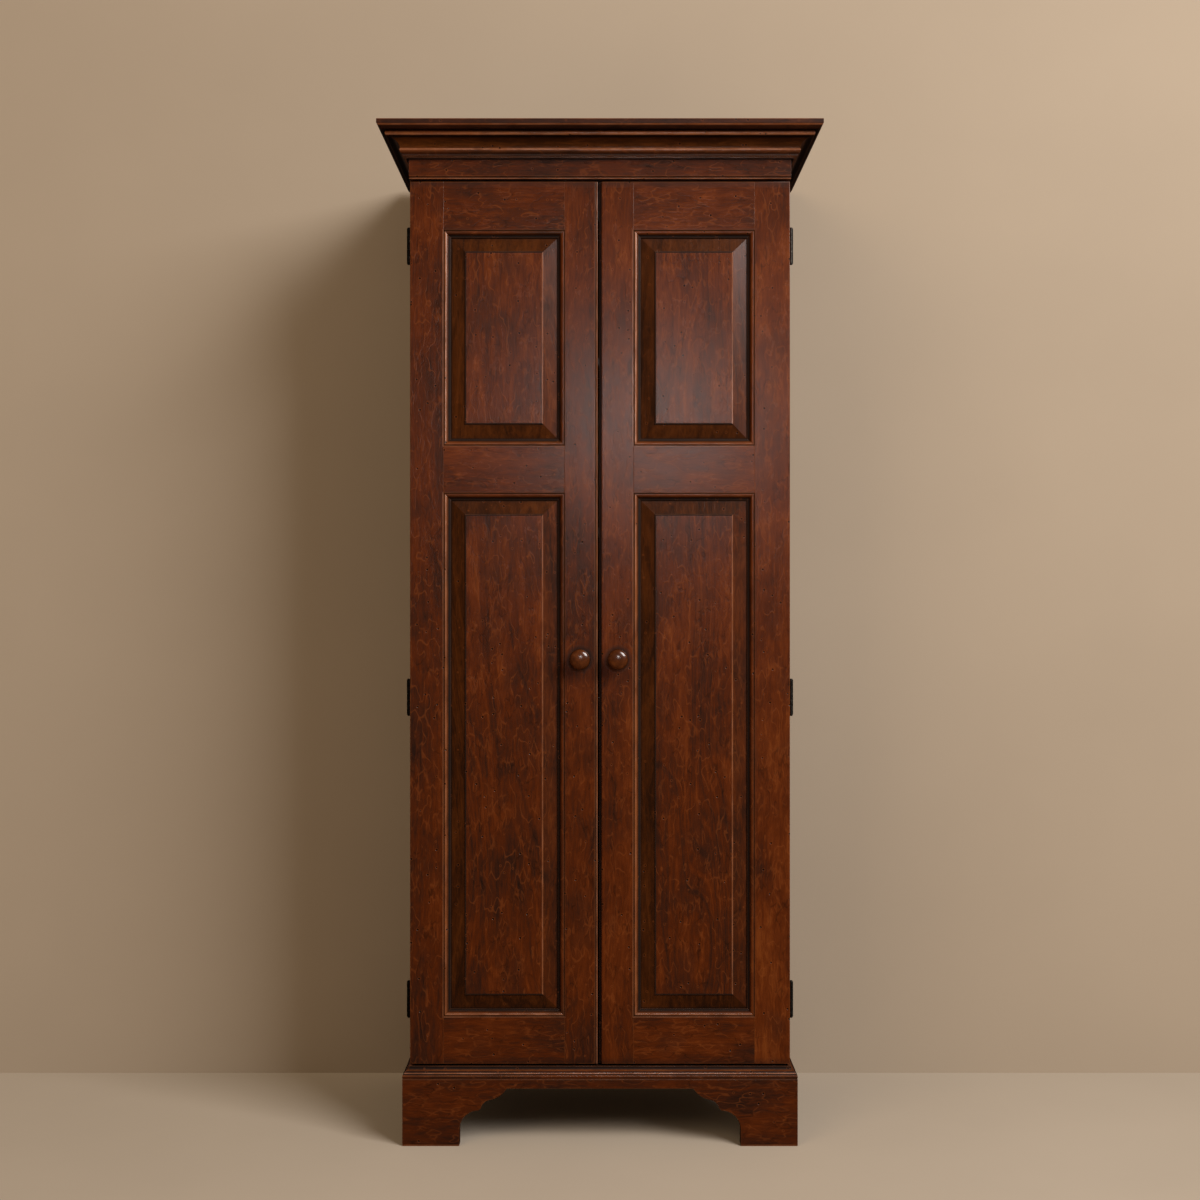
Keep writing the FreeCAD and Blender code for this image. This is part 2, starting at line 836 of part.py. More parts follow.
def shelf_pin(side, y, shelf_foot):
    wall = side * side_inner
    stem = rod(pin_hole_radius - pin_play, pin_stem_length, Vector(wall, y, pin_centre(shelf_foot)),
               Vector(side, 0, 0))
    plate = block(wall, wall - side * pin_plate_thickness, y - pin_plate_width / 2,
                  y + pin_plate_width / 2, shelf_foot - pin_plate_height, shelf_foot)
    tongue = block(wall, wall - side * pin_tongue_length, y - pin_plate_width / 2,
                   y + pin_plate_width / 2, shelf_foot - pin_plate_thickness, shelf_foot)
    return joined([stem, plate, tongue])


def pin_holes(side):
    holes = []
    for shelf_foot in shelf_heights():
        for step in (-1, 0, 1):
            height = pin_centre(shelf_foot) + step * pin_hole_pitch
            for y in pin_rows():
                holes.append(rod(pin_hole_radius, pin_hole_depth,
                                 Vector(side * side_inner, y, height), Vector(side, 0, 0)))
    return holes


# The case
def make_side(name, side):
    front = depth_y(case_depth)
    board = block(side * side_inner, side * half_width, front, back_y, case_foot, case_head)
    dado = block(side * (side_inner - overrun), side * (side_inner + bottom_dado_depth),
                 front - overrun, back_face, floor_top - bottom_board_thickness, floor_top)
    top_rebate = block(side * (side_inner - overrun), side * (side_inner + top_rebate_depth),
                       front - overrun, back_face, ceiling, case_head + overrun)
    back_rebate = block(side * (side_inner - overrun), side * (side_inner + back_rebate_width),
                        back_face, back_y + overrun, case_foot - overrun, case_head + overrun)
    save(f"side_{name}", without(board, [dado, top_rebate, back_rebate] + pin_holes(side)))


def make_case_boards():
    front = depth_y(case_depth)
    reach = side_inner + bottom_dado_depth
    save("case_bottom", block(-reach, reach, front, back_face,
                              floor_top - bottom_board_thickness, floor_top))
    reach = side_inner + top_rebate_depth
    save("case_top", block(-reach, reach, front, back_face, ceiling, case_head))


def face_tenon(near, far, bottom, top, play):
    middle = frame_depth + face_frame_thickness / 2
    return block(near, far, depth_y(middle - face_tenon_thickness / 2 - play),
                 depth_y(middle + face_tenon_thickness / 2 + play),
                 bottom + face_tenon_shoulder - play, top - face_tenon_shoulder + play)


def face_rail_ranges():
    return {
        "face_rail_bottom": (case_foot, floor_top),
        "face_rail_top": (face_opening_head, case_head),
    }


def make_face_frame():
    catch_holes = [wood_screw(foot, direction, screw_play) for foot, direction in catch_screws()]
    for name, (bottom, top) in face_rail_ranges().items():
        rail = block(-face_opening, face_opening, depth_y(frame_depth), depth_y(case_depth),
                     bottom, top)
        ends = [face_tenon(side * face_opening, side * (face_opening + face_tenon_length),
                           bottom, top, 0.0) for side in (-1, 1)]
        save(name, without(joined([rail] + ends), catch_holes))
    for name, door in doors.items():
        side = door["side"]
        stile = block(side * face_opening, side * half_width, depth_y(frame_depth),
                      depth_y(case_depth), case_foot, case_head)
        cuts = []
        for bottom, top in face_rail_ranges().values():
            cuts.append(face_tenon(side * (face_opening - overrun),
                                   side * (face_opening + face_tenon_length + panel_play),
                                   bottom, top, panel_tongue_play))
        for height in hinge_heights:
            cuts.append(hinge_gain(side, height, True))
            cuts += [wood_screw(foot, direction, screw_play)
                     for foot, direction in hinge_screws(side, height, True)]
        save(f"face_stile_{name}", without(stile, cuts))


def make_back():
    """Five upright boards, each with a tongue on its right edge and a groove in its left one."""
    span = side_inner + back_rebate_width
    pitch = 2 * span / back_board_count
    middle = (back_y + back_face) / 2
    half_tongue = back_tongue_thickness / 2
    boards = []
    for index in range(back_board_count):
        low = -span + pitch * index
        high = low + pitch
        pairs = [(low, back_face + back_vee), (low + back_vee, back_face),
                 (high - back_vee, back_face), (high, back_face + back_vee)]
        if index < back_board_count - 1:
            tip = high + back_tongue_length
            pairs += [(high, middle - half_tongue), (tip, middle - half_tongue),
                      (tip, middle + half_tongue), (high, middle + half_tongue)]
        pairs += [(high, back_y - back_vee), (high - back_vee, back_y),
                  (low + back_vee, back_y), (low, back_y - back_vee)]
        if index:
            floor = low + back_tongue_length + back_tongue_play
            wide = half_tongue + back_tongue_play
            pairs += [(low, middle + wide), (floor, middle + wide),
                      (floor, middle - wide), (low, middle - wide)]
        boards.append(along_z(corner_points(pairs), case_foot, case_head))
    save_group("back_boards", boards)


# The case's half of the hinges, and the screws in the case
def make_case_fittings():
    leaves = []
    pins = []
    screws = []
    for side in (-1, 1):
        for height in hinge_heights:
            leaves.append(hinge_leaf(side, height, True))
            pins.append(hinge_pin(side, height))
            for foot, direction in hinge_screws(side, height, True):
                screws.append(slotted(wood_screw(foot, direction), foot, direction))
    for foot, direction in catch_screws():
        screws.append(slotted(wood_screw(foot, direction), foot, direction))
    save_group("case_hinge_leaves", leaves)
    save_group("hinge_pins", pins)
    save_group("case_screws", screws)


# The magnetic catch, screwed up under the top rail behind the meeting of the doors
def catch_middle():
    return left_door_edge + meeting_gap / 2


def catch_screws():
    """The screws pass up through thin ears at both ends of the catch into the rail."""
    reach = catch_width / 2 + catch_screw_inset
    foot_y = depth_y(frame_depth + face_frame_thickness / 2)
    ear_foot = face_opening_head - strike_thickness
    return [(Vector(catch_middle() + side * reach, foot_y, ear_foot), Vector(0, 0, 1))
            for side in (-1, 1)]


def make_catch():
    middle = catch_middle()
    near = depth_y(frame_depth)
    far = depth_y(frame_depth + catch_depth)
    outline = corner_points([
        (near, face_opening_head), (near, face_opening_head - catch_height),
        (far - catch_ease, face_opening_head - catch_height),
        (far, face_opening_head - catch_height + catch_ease), (far, face_opening_head),
    ])
    body = along_x(outline, middle - catch_width / 2, middle + catch_width / 2)
    reach = catch_width / 2 + 2 * catch_screw_inset
    ears = block(middle - reach, middle + reach, near, far,
                 face_opening_head - strike_thickness, face_opening_head)
    holes = [wood_screw(foot, direction, screw_play) for foot, direction in catch_screws()]
    save("magnetic_catch", without(joined([body, ears]), holes))


# The frieze, the crown moulding and the cap
def frieze_outline():
    """A plain board with a bead and a quirk worked on its lower front corner."""
    back = -frame_depth
    face = frieze_projection
    bead_top = case_head + frieze_bead
    floor = face - frieze_bead / 2
    return [
        (back, case_head, no_bulge_share),
        (floor, case_head, half_round_bulge_share),
        (floor, bead_top, no_bulge_share),
        (floor, bead_top + frieze_quirk / 2, no_bulge_share),
        (face, bead_top + frieze_quirk, no_bulge_share),
        (face, cap_foot, no_bulge_share),
        (back, cap_foot, no_bulge_share),
    ]


def crown_outline():
    """From the frieze up: a small fillet, a rounded lip, a cove and a bead under the cap."""
    cove_top = cap_foot - crown_bead_height
    lip_top = cove_top - crown_cove_height
    lip_foot = lip_top - crown_lip_height
    fillet_top = lip_foot - crown_lip_fillet_height
    foot = fillet_top - crown_fillet_height
    return [
        (frieze_projection, foot, no_bulge_share),
        (crown_fillet_projection, foot, no_bulge_share),
        (crown_fillet_projection, fillet_top, no_bulge_share),
        (crown_lip_foot_projection, fillet_top, no_bulge_share),
        (crown_lip_foot_projection, lip_foot, no_bulge_share),
        (crown_lip_foot_projection - crown_lip_quirk, lip_foot, crown_lip_bulge_share),
        (crown_lip_projection, lip_top, -crown_cove_bulge_share),
        (crown_cove_projection, cove_top, no_bulge_share),
        (crown_bead_projection, cove_top, crown_bead_bulge_share),
        (crown_bead_projection, cap_foot, no_bulge_share),
        (frieze_projection, cap_foot, no_bulge_share),
    ]


def make_cornice():
    save("frieze_front", front_strip(frieze_outline()))
    save("crown_front", front_strip(crown_outline()))
    for name, door in doors.items():
        save(f"frieze_{name}", side_strip(frieze_outline(), door["side"]))
        save(f"crown_{name}", side_strip(crown_outline(), door["side"]))
    reach = half_width - frame_depth
    save("cornice_back", block(-reach, reach, back_y - cornice_back_thickness, back_y,
                               case_head, cap_foot))


def cap_edge(out):
    """The cap's moulded edge in (projection, height), with out = 1 or -1 for the way it faces."""
    return [
        (out * cap_foot_projection, cap_foot, out * cap_edge_bulge_share),
        (out * cap_projection, cabinet_height - cap_face_height, no_bulge_share),
        (out * cap_projection, cabinet_height - cap_edge_ease, out * quarter_bulge_share),
        (out * (cap_projection - cap_edge_ease), cabinet_height, no_bulge_share),
    ]


def make_cap():
    front = [(door_face_y + a, z, bulge) for a, z, bulge in cap_edge(-1)]
    front += corner_points([(back_y, cabinet_height), (back_y, cap_foot)])
    right = [(half_width + a, z, bulge) for a, z, bulge in cap_edge(1)]
    reach = half_width + cap_projection
    across = along_x(front, -reach, reach)
    along = along_y(right + mirrored(right, 0.0), door_face_y - cap_projection, back_y)
    save("top_cap", across.common(along).removeSplitter())


# The base
def base_frame_outline():
    top = case_foot
    fillet_foot = top - base_fillet_height
    cove_foot = fillet_foot - base_cove_height
    ovolo_foot = cove_foot - base_ovolo_height
    round_foot = ovolo_foot - base_quirk - base_round_height
    back = base_projection - base_frame_width
    return [
        (back, base_board_height, no_bulge_share),
        (base_projection - base_ease, base_board_height, no_bulge_share),
        (base_projection, base_board_height + base_ease, no_bulge_share),
        (base_projection, round_foot, base_curve_bulge_share),
        (base_ovolo_projection + base_quirk, ovolo_foot - base_quirk, no_bulge_share),
        (base_ovolo_projection, ovolo_foot, base_curve_bulge_share),
        (base_cove_projection, cove_foot, -base_curve_bulge_share),
        (base_fillet_projection, fillet_foot, no_bulge_share),
        (base_fillet_projection, top, no_bulge_share),
        (back, top, no_bulge_share),
    ]


def base_board_outline():
    back = base_projection - base_board_thickness
    return corner_points([
        (back, 0.0), (base_projection - base_ease, 0.0), (base_projection, base_ease),
        (base_projection, base_board_height - base_ease),
        (base_projection - base_ease, base_board_height), (back, base_board_height),
    ])


def bracket(corner, share):
    """The shaped edge of one foot, from the floor up to the apron, in (place, height).

    The corner is the foot's outer end, and the board runs on from there. The share is the bracket's
    size beside one of the front brackets."""
    apron_foot = base_board_height - apron_drop
    inner = corner + foot_width * share
    swell_end = inner + (ogee_width - ogee_swell_width) * share
    swell_foot = apron_foot - ogee_swell_height * share
    hollow_foot = swell_foot - ogee_hollow * share
    round_top = hollow_foot - ogee_cusp_height * share
    return [
        (inner, -overrun, no_bulge_share),
        (inner, round_top - ogee_round * share, -quarter_bulge_share),
        (inner + ogee_round * share, round_top, no_bulge_share),
        (swell_end - ogee_hollow * share, hollow_foot, -ogee_hollow_bulge_share),
        (swell_end, swell_foot, ogee_swell_bulge_share),
        (inner + ogee_width * share, apron_foot, no_bulge_share),
    ]


def base_cutout(low, high, share):
    """The opening between two feet, as an outline that runs a little below the floor."""
    first = bracket(low, share)
    return first + mirrored(first, (low + high) / 2)


def make_base():
    reach = half_width + base_projection
    front_y = door_face_y - base_projection
    inner = reach - base_board_thickness
    front_cut = along_y(base_cutout(-reach, reach, front_bracket_share), front_y - overrun,
                        front_y + base_board_thickness + overrun)
    save("base_front", without(front_strip(base_board_outline()), [front_cut]))
    side_cut = along_x(base_cutout(front_y, back_y, side_bracket_share),
                       -reach - overrun, reach + overrun)
    for name, door in doors.items():
        board = side_strip(base_board_outline(), door["side"])
        save(f"base_{name}", without(board, [side_cut]))
        save(f"base_frame_{name}", side_strip(base_frame_outline(), door["side"]))
    save("base_back", block(-inner, inner, back_y - back_rail_thickness, back_y,
                            base_board_height - back_rail_height, base_board_height))
    save("base_frame_front", front_strip(base_frame_outline()))
    frame_inner = reach - base_frame_width
    save("base_frame_back", block(-frame_inner, frame_inner, back_y - base_frame_width, back_y,
                                  base_board_height, case_foot))


def make_glue_blocks():
    """Square posts in the corners of the base, and small blocks that hold the frieze."""
    blocks = []
    inner = half_width + base_projection - base_board_thickness
    front = door_face_y - base_projection + base_board_thickness
    back = back_y - back_rail_thickness
    for side in (-1, 1):
        for near, far in ((front, front + base_block_size), (back - base_block_size, back)):
            blocks.append(block(side * (inner - base_block_size), side * inner, near, far,
                                base_block_lift, base_board_height))
    behind = depth_y(frame_depth)
    wedge = corner_points([(behind, case_head), (behind + cornice_block_size, case_head),
                           (behind, case_head + cornice_block_size)])
    post_edge = half_width - frame_depth
    reach = (post_edge - cornice_post_size) * cornice_block_place_share
    for middle in (-reach, 0.0, reach):
        blocks.append(along_x(wedge, middle - cornice_block_length / 2,
                              middle + cornice_block_length / 2))
    for side in (-1, 1):
        blocks.append(block(side * (post_edge - cornice_post_size), side * post_edge, behind,
                            behind + cornice_post_size, case_head, cap_foot))
    save_group("glue_blocks", blocks)


os.makedirs("parts", exist_ok=True)
make_side("left", -1)
make_side("right", 1)
make_case_boards()
make_face_frame()
make_back()
make_shelves()
make_case_fittings()
make_catch()
make_cornice()
make_cap()
make_base()
make_glue_blocks()
for door_name in doors:
    make_door(door_name)
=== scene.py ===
import json
import math
import random

import bpy
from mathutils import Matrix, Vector

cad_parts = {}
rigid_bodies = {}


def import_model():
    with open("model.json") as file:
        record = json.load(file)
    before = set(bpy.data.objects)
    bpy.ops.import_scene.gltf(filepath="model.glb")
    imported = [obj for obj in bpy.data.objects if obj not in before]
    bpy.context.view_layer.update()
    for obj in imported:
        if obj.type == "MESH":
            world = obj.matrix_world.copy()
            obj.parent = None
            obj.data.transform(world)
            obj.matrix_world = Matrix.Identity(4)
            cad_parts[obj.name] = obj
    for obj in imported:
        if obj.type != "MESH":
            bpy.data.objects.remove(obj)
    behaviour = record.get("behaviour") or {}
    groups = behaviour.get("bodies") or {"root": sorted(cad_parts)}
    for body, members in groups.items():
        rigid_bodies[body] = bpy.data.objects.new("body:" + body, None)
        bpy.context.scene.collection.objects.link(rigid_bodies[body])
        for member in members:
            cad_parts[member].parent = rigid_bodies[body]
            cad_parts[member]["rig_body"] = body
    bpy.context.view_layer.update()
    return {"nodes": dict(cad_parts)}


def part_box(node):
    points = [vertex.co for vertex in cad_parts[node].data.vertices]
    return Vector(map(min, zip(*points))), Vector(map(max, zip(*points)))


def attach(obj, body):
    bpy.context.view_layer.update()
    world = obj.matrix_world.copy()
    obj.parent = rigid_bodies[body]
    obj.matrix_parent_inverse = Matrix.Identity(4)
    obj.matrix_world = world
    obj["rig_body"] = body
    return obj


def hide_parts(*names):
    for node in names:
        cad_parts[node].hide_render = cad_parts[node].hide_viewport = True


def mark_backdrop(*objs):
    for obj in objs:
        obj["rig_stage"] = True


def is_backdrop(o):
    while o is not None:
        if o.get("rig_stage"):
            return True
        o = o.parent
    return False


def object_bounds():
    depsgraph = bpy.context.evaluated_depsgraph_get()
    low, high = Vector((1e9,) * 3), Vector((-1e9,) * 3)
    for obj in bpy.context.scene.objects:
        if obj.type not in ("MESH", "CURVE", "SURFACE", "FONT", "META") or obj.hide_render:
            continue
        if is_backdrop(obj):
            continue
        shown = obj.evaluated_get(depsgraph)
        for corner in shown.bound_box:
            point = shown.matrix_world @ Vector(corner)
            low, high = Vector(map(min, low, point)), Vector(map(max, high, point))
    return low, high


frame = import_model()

# The view: a level camera straight in front of the cupboard, a little over half-way up the doors,
# with a normal lens.
bpy.ops.object.select_all(action="DESELECT")
door_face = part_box("hinge_stile_left")[0].y
camera_distance = 3.113
camera_height = 1.016
bpy.ops.object.camera_add(location=(0, door_face - camera_distance, camera_height),
                          rotation=(math.pi / 2, 0, 0))
bpy.context.object.data.lens = 50
bpy.context.scene.camera = bpy.context.object
bpy.context.scene.view_settings.view_transform = "Standard"


# The plain room: a pale floor, a pale wall close behind the back that is only there from its front,
# and soft lamps. Its paint is mixed as every finish here is, from masks, which are numbers that
# vary over a surface and that sums and products carry on.
class Mask:
    """A number, colour or shader that comes out of a finish's nodes."""

    def __init__(self, finish, socket):
        self.finish = finish
        self.socket = socket

    def math(self, operation, *others):
        values = {index + 1: other for index, other in enumerate(others)}
        return self.finish.add("ShaderNodeMath", {"operation": operation}, {0: self, **values})

    def __add__(self, other):
        return self.math("ADD", other)

    def __sub__(self, other):
        return self.math("SUBTRACT", other)

    def __mul__(self, other):
        return self.math("MULTIPLY", other)

    def __rsub__(self, other):
        return self * -1.0 + other

    __radd__ = __add__
    __rmul__ = __mul__

    def size(self):
        return self.math("ABSOLUTE")

    def least(self, other):
        return self.math("MINIMUM", other)

    def most(self, other):
        return self.math("MAXIMUM", other)

    def rise(self, low, high):
        """0 up to low, 1 from high on, with a smooth ramp between."""
        return self.finish.add("ShaderNodeMapRange", {"interpolation_type": "SMOOTHSTEP"},
                               {"Value": self, "From Min": low, "From Max": high})

    def line(self, middle, width):
        """1 at the middle value, fading to 0 a width away."""
        return (self - middle).size().rise(width, 0.0)


class Finish:
    """A material, or the world's light, that is being mixed."""

    def __init__(self, name, world=None):
        self.owner = world or bpy.data.materials.new(name)
        self.owner.use_nodes = True
        self.tree = self.owner.node_tree
        self.tree.nodes.clear()

    def add(self, kind, settings, values, output=0):
        """Adds a node from its type, its settings, and the values or links of its sockets."""
        node = self.tree.nodes.new(kind)
        for key, setting in settings.items():
            if key == "stops":
                self.set_stops(node.color_ramp.elements, setting)
            else:
                setattr(node, key, setting)
        for key, value in values.items():
            if isinstance(value, Mask):
                self.tree.links.new(value.socket, node.inputs[key])
            elif node.inputs[key].type == "RGBA":
                node.inputs[key].default_value = (*value, 1)
            else:
                node.inputs[key].default_value = value
        return Mask(self, node.outputs[output]) if node.outputs else None

    def set_stops(self, elements, stops):
        while len(elements) < len(stops):
            elements.new(1.0)
        for element, (place, tone) in zip(elements, stops):
            element.position = place
            element.color = (*tone, 1) if isinstance(tone, tuple) else (tone, tone, tone, 1)

    def axes(self, vector):
        first = self.add("ShaderNodeSeparateXYZ", {}, {0: vector})
        return [Mask(self, output) for output in first.socket.node.outputs]

    def stretched(self, vector, scales, shift=(0, 0, 0)):
        """The vector with each axis multiplied and then moved."""
        return self.add("ShaderNodeVectorMath", {"operation": "MULTIPLY_ADD"},
                        {0: vector, 1: scales, 2: shift})

    def noise(self, vector, scales, detail=2.0, roughness=0.5):
        return self.add("ShaderNodeTexNoise", {}, {
            "Vector": self.stretched(vector, scales), "Scale": 1.0, "Detail": detail,
            "Roughness": roughness})

    def ramp(self, value, stops):
        return self.add("ShaderNodeValToRGB", {"stops": stops}, {0: value})

    def blend(self, amount, first, second, way="MIX"):
        """Two colours mixed by an amount from 0 to 1."""
        return self.add("ShaderNodeMix", {"data_type": "RGBA", "blend_type": way},
                        {0: amount, 6: first, 7: second}, 2)

    def bump(self, height, distance):
        return self.add("ShaderNodeBump", {}, {"Height": height, "Distance": distance})

    def finished(self, shader, kind="ShaderNodeOutputMaterial"):
        """Ends the nodes in a shader."""
        self.add(kind, {}, {0: shader})
        return self.owner

    def principled(self, **values):
        """Ends the material in one principled shader."""
        return self.finished(self.add("ShaderNodeBsdfPrincipled", {}, {
            key.replace("_", " "): value for key, value in values.items()}))


def room_paint(name, colour, one_sided):
    """Flat paint, a little cloudy. One-sided paint is clear from behind."""
    paint = Finish(name)
    place = paint.add("ShaderNodeTexCoord", {}, {}, "Object")
    cloud = paint.noise(place, (1.6, 1.6, 1.6), 4.0)
    shade = paint.ramp(cloud, [(0.3, tuple(c * 0.94 for c in colour)), (0.7, colour)])
    front = paint.add("ShaderNodeBsdfDiffuse", {}, {"Color": shade})
    if not one_sided:
        return paint.finished(front)
    behind = paint.add("ShaderNodeNewGeometry", {}, {}, "Backfacing")
    clear = paint.add("ShaderNodeBsdfTransparent", {}, {})
    return paint.finished(paint.add("ShaderNodeMixShader", {}, {0: behind, 1: front, 2: clear}))


room_size = 24
wall_foot = -0.1
wall_gap = 0.023
flags_radius, flags_height = 7, 13
back_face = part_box("back_boards")[1].y
bpy.ops.mesh.primitive_plane_add(size=room_size, location=(0, 0, 0))
floor = bpy.context.object
floor.name = "floor"
floor.data.materials.append(room_paint("floor_paint", (0.44, 0.365, 0.29), False))
floor.visible_glossy = False
bpy.ops.mesh.primitive_plane_add(size=room_size, rotation=(math.pi / 2, 0, 0),
                                 location=(0, back_face + wall_gap, room_size / 2 + wall_foot))
wall = bpy.context.object
wall.name = "wall"
wall.data.materials.append(room_paint("wall_paint", (0.365, 0.295, 0.225), True))
wall.visible_shadow = False
wall.visible_diffuse = False
wall.visible_glossy = False
bpy.ops.mesh.primitive_cylinder_add(radius=flags_radius, depth=flags_height, location=(0, 0, 0))
flags = bpy.context.object
flags.name = "black_flags"
flags.data.materials.append(room_paint("flag_cloth", (0.05, 0.046, 0.042), False))
flags.visible_camera = False
flags.visible_diffuse = False
flags.visible_shadow = False
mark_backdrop(floor, wall, flags)

room_light_colour = (0.29, 0.23, 0.16)
room_seen_colour = (0.45, 0.38, 0.3)
sky = Finish("room_light", bpy.data.worlds.new("room_light"))
camera_ray = sky.add("ShaderNodeLightPath", {}, {}, "Is Camera Ray")
glossy_ray, transmission_ray = (Mask(sky, camera_ray.socket.node.outputs[name])
                                for name in ("Is Glossy Ray", "Is Transmission Ray"))
seen = (camera_ray + glossy_ray + transmission_ray).least(1.0)
shown = sky.blend(seen, room_light_colour, room_seen_colour)
bpy.context.scene.world = sky.finished(
    sky.add("ShaderNodeBackground", {}, {"Color": shown}), "ShaderNodeOutputWorld")

# Each lamp has its name, place, the point that it faces, size, power and colour.
lamps = (
    ("key_lamp", (3.3, -3.55, 4.0), (0, -0.19, 1.0), (2.8, 2.8), 388, (1, 0.985, 0.965)),
    ("sheen_lamp", (0.24, -4.5, 1.82), (0.1, 0, 1.3), (0.8, 0.5), 15.5, (1, 0.99, 0.98)),
    ("fill_lamp", (-2.6, -4.0, 3.7), (-0.3, 0, 1.0), (2.5, 2.5), 62, (1, 0.79, 0.56)),
    ("back_lamp", (0, 4.4, 1.9), (0, 0, 1.0), (0.6, 0.9), 130, (1, 0.97, 0.93)),
)
for name, place, aim, size, power, colour in lamps:
    bpy.ops.object.light_add(type="AREA", location=place)
    lamp = bpy.context.object
    lamp.name = name
    lamp.rotation_euler = (Vector(aim) - Vector(place)).to_track_quat("-Z", "Y").to_euler()
    lamp.data.shape = "RECTANGLE"
    lamp.data.size, lamp.data.size_y = size
    lamp.data.energy = power
    lamp.data.color = colour
    lamp.visible_camera = False
    lamp.visible_diffuse = name != "sheen_lamp"
    lamp.visible_glossy = name not in ("fill_lamp", "back_lamp")
unlit = bpy.data.collections.new("not_for_back_lamp")
for surface in (floor, wall):
    unlit.objects.link(surface)
bpy.data.objects["back_lamp"].light_linking.receiver_collection = unlit
for surface in unlit.collection_objects:
    surface.light_linking.link_state = "EXCLUDE"


# The doors' framed wood: stiles, rails and raised panels of a close-grained hardwood, stained
# red-brown, with dark glaze and painted shade in the recesses, arrises rubbed back to orange with
# painted highlights, wormholes and scuffs.
# The frame is tenoned, the panels sit loose in it, and each board is eased by hand.
merge_distance = 3e-6
flat_angle = math.radians(0.2)
arris_angle = math.radians(40)
panel_crease, frame_crease = 8, 35


def worked(node, ease, crease=frame_crease):
    """A CAD piece as it leaves the bench: one skin instead of loose facets, with eased arrises."""
    bpy.ops.object.select_all(action="DESELECT")
    source = frame["nodes"][node]
    piece = bpy.data.objects.new("worked_" + node, source.data.copy())
    bpy.context.collection.objects.link(piece)
    piece.select_set(True)
    bpy.context.view_layer.objects.active = piece
    # Two slots of any paint, so that the bevel can mark its own faces by the second.
    piece.data.materials.clear()
    for _ in range(2):
        piece.data.materials.append(bpy.data.materials["floor_paint"])
    bpy.ops.mesh.customdata_custom_splitnormals_clear()
    bpy.ops.object.mode_set(mode="EDIT")
    bpy.ops.mesh.select_all(action="SELECT")
    bpy.ops.mesh.remove_doubles(threshold=merge_distance)
    bpy.ops.mesh.dissolve_limited(angle_limit=flat_angle)
    bpy.ops.object.mode_set(mode="OBJECT")
    if ease:
        bevel = piece.modifiers.new("eased", "BEVEL")
        bevel.width = ease
        bevel.segments = 2
        bevel.material = 1
        bevel.angle_limit = arris_angle
        bevel.use_clamp_overlap = False
        bpy.ops.object.modifier_apply(modifier="eased")
    rounded = [float(face.material_index) for face in piece.data.polygons]
    piece.data.attributes.new("arris", "FLOAT", "FACE").data.foreach_set("value", rounded)
    piece.data.polygons.foreach_set("material_index", [0] * len(rounded))
    piece.data.materials.clear()
    bpy.ops.object.shade_smooth_by_angle(angle=math.radians(crease))
    weighted = piece.modifiers.new("flat_faces", "WEIGHTED_NORMAL")
    weighted.keep_sharp = True
    bpy.ops.object.modifier_apply(modifier="flat_faces")
    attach(piece, source["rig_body"])
    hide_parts(node)
    return piece


stain_stops = [
    (0.0, (0.015, 0.0062, 0.0040)),
    (0.25, (0.036, 0.0092, 0.0034)),
    (0.5, (0.061, 0.0116, 0.0018)),
    (0.75, (0.090, 0.0175, 0.0023)),
    (1.0, (0.135, 0.031, 0.0045)),
]
# The glaze colour is also the colour of painted shade.
glaze_and_shade_colour = (0.0075, 0.0026, 0.0009)
smudge_colour = (0.024, 0.0088, 0.0050)
# The rubbed colour also paints highlights.
rubbed_and_highlight_colour = (0.19, 0.059, 0.017)
scuff_colour = (0.17, 0.042, 0.008)
# A pale pink painted highlight.
highlight_colour = (0.34, 0.16, 0.10)
# Painted shade on the panel bevels.
bevel_shade_colour = (0.040, 0.0112, 0.0011)
arris_wear = 0.35
plain_roughness = 0.26
plain_coat, rubbed_coat, coat_roughness = 0.15, 0.5, 0.2
wood_specular = 0.15
holes_per_metre = 60
hole_share = (0.52, 0.53)
hole_edge = (0.13, 0.08)
hole_ring = (0.165, 0.044)
relief = 0.0003
base_tone = 0.43
blotch_weight, mottle_weight, fibre_weight, streak_weight, vein_weight = 1.3, 0.5, 0.6, 0.6, 0.16
smudge_weight, dark_hair_weight, fleck_weight, hair_weight = 0.34, 0.4, 0.32, 0.36
ring_weight, pit_weight = 0.35, 0.9


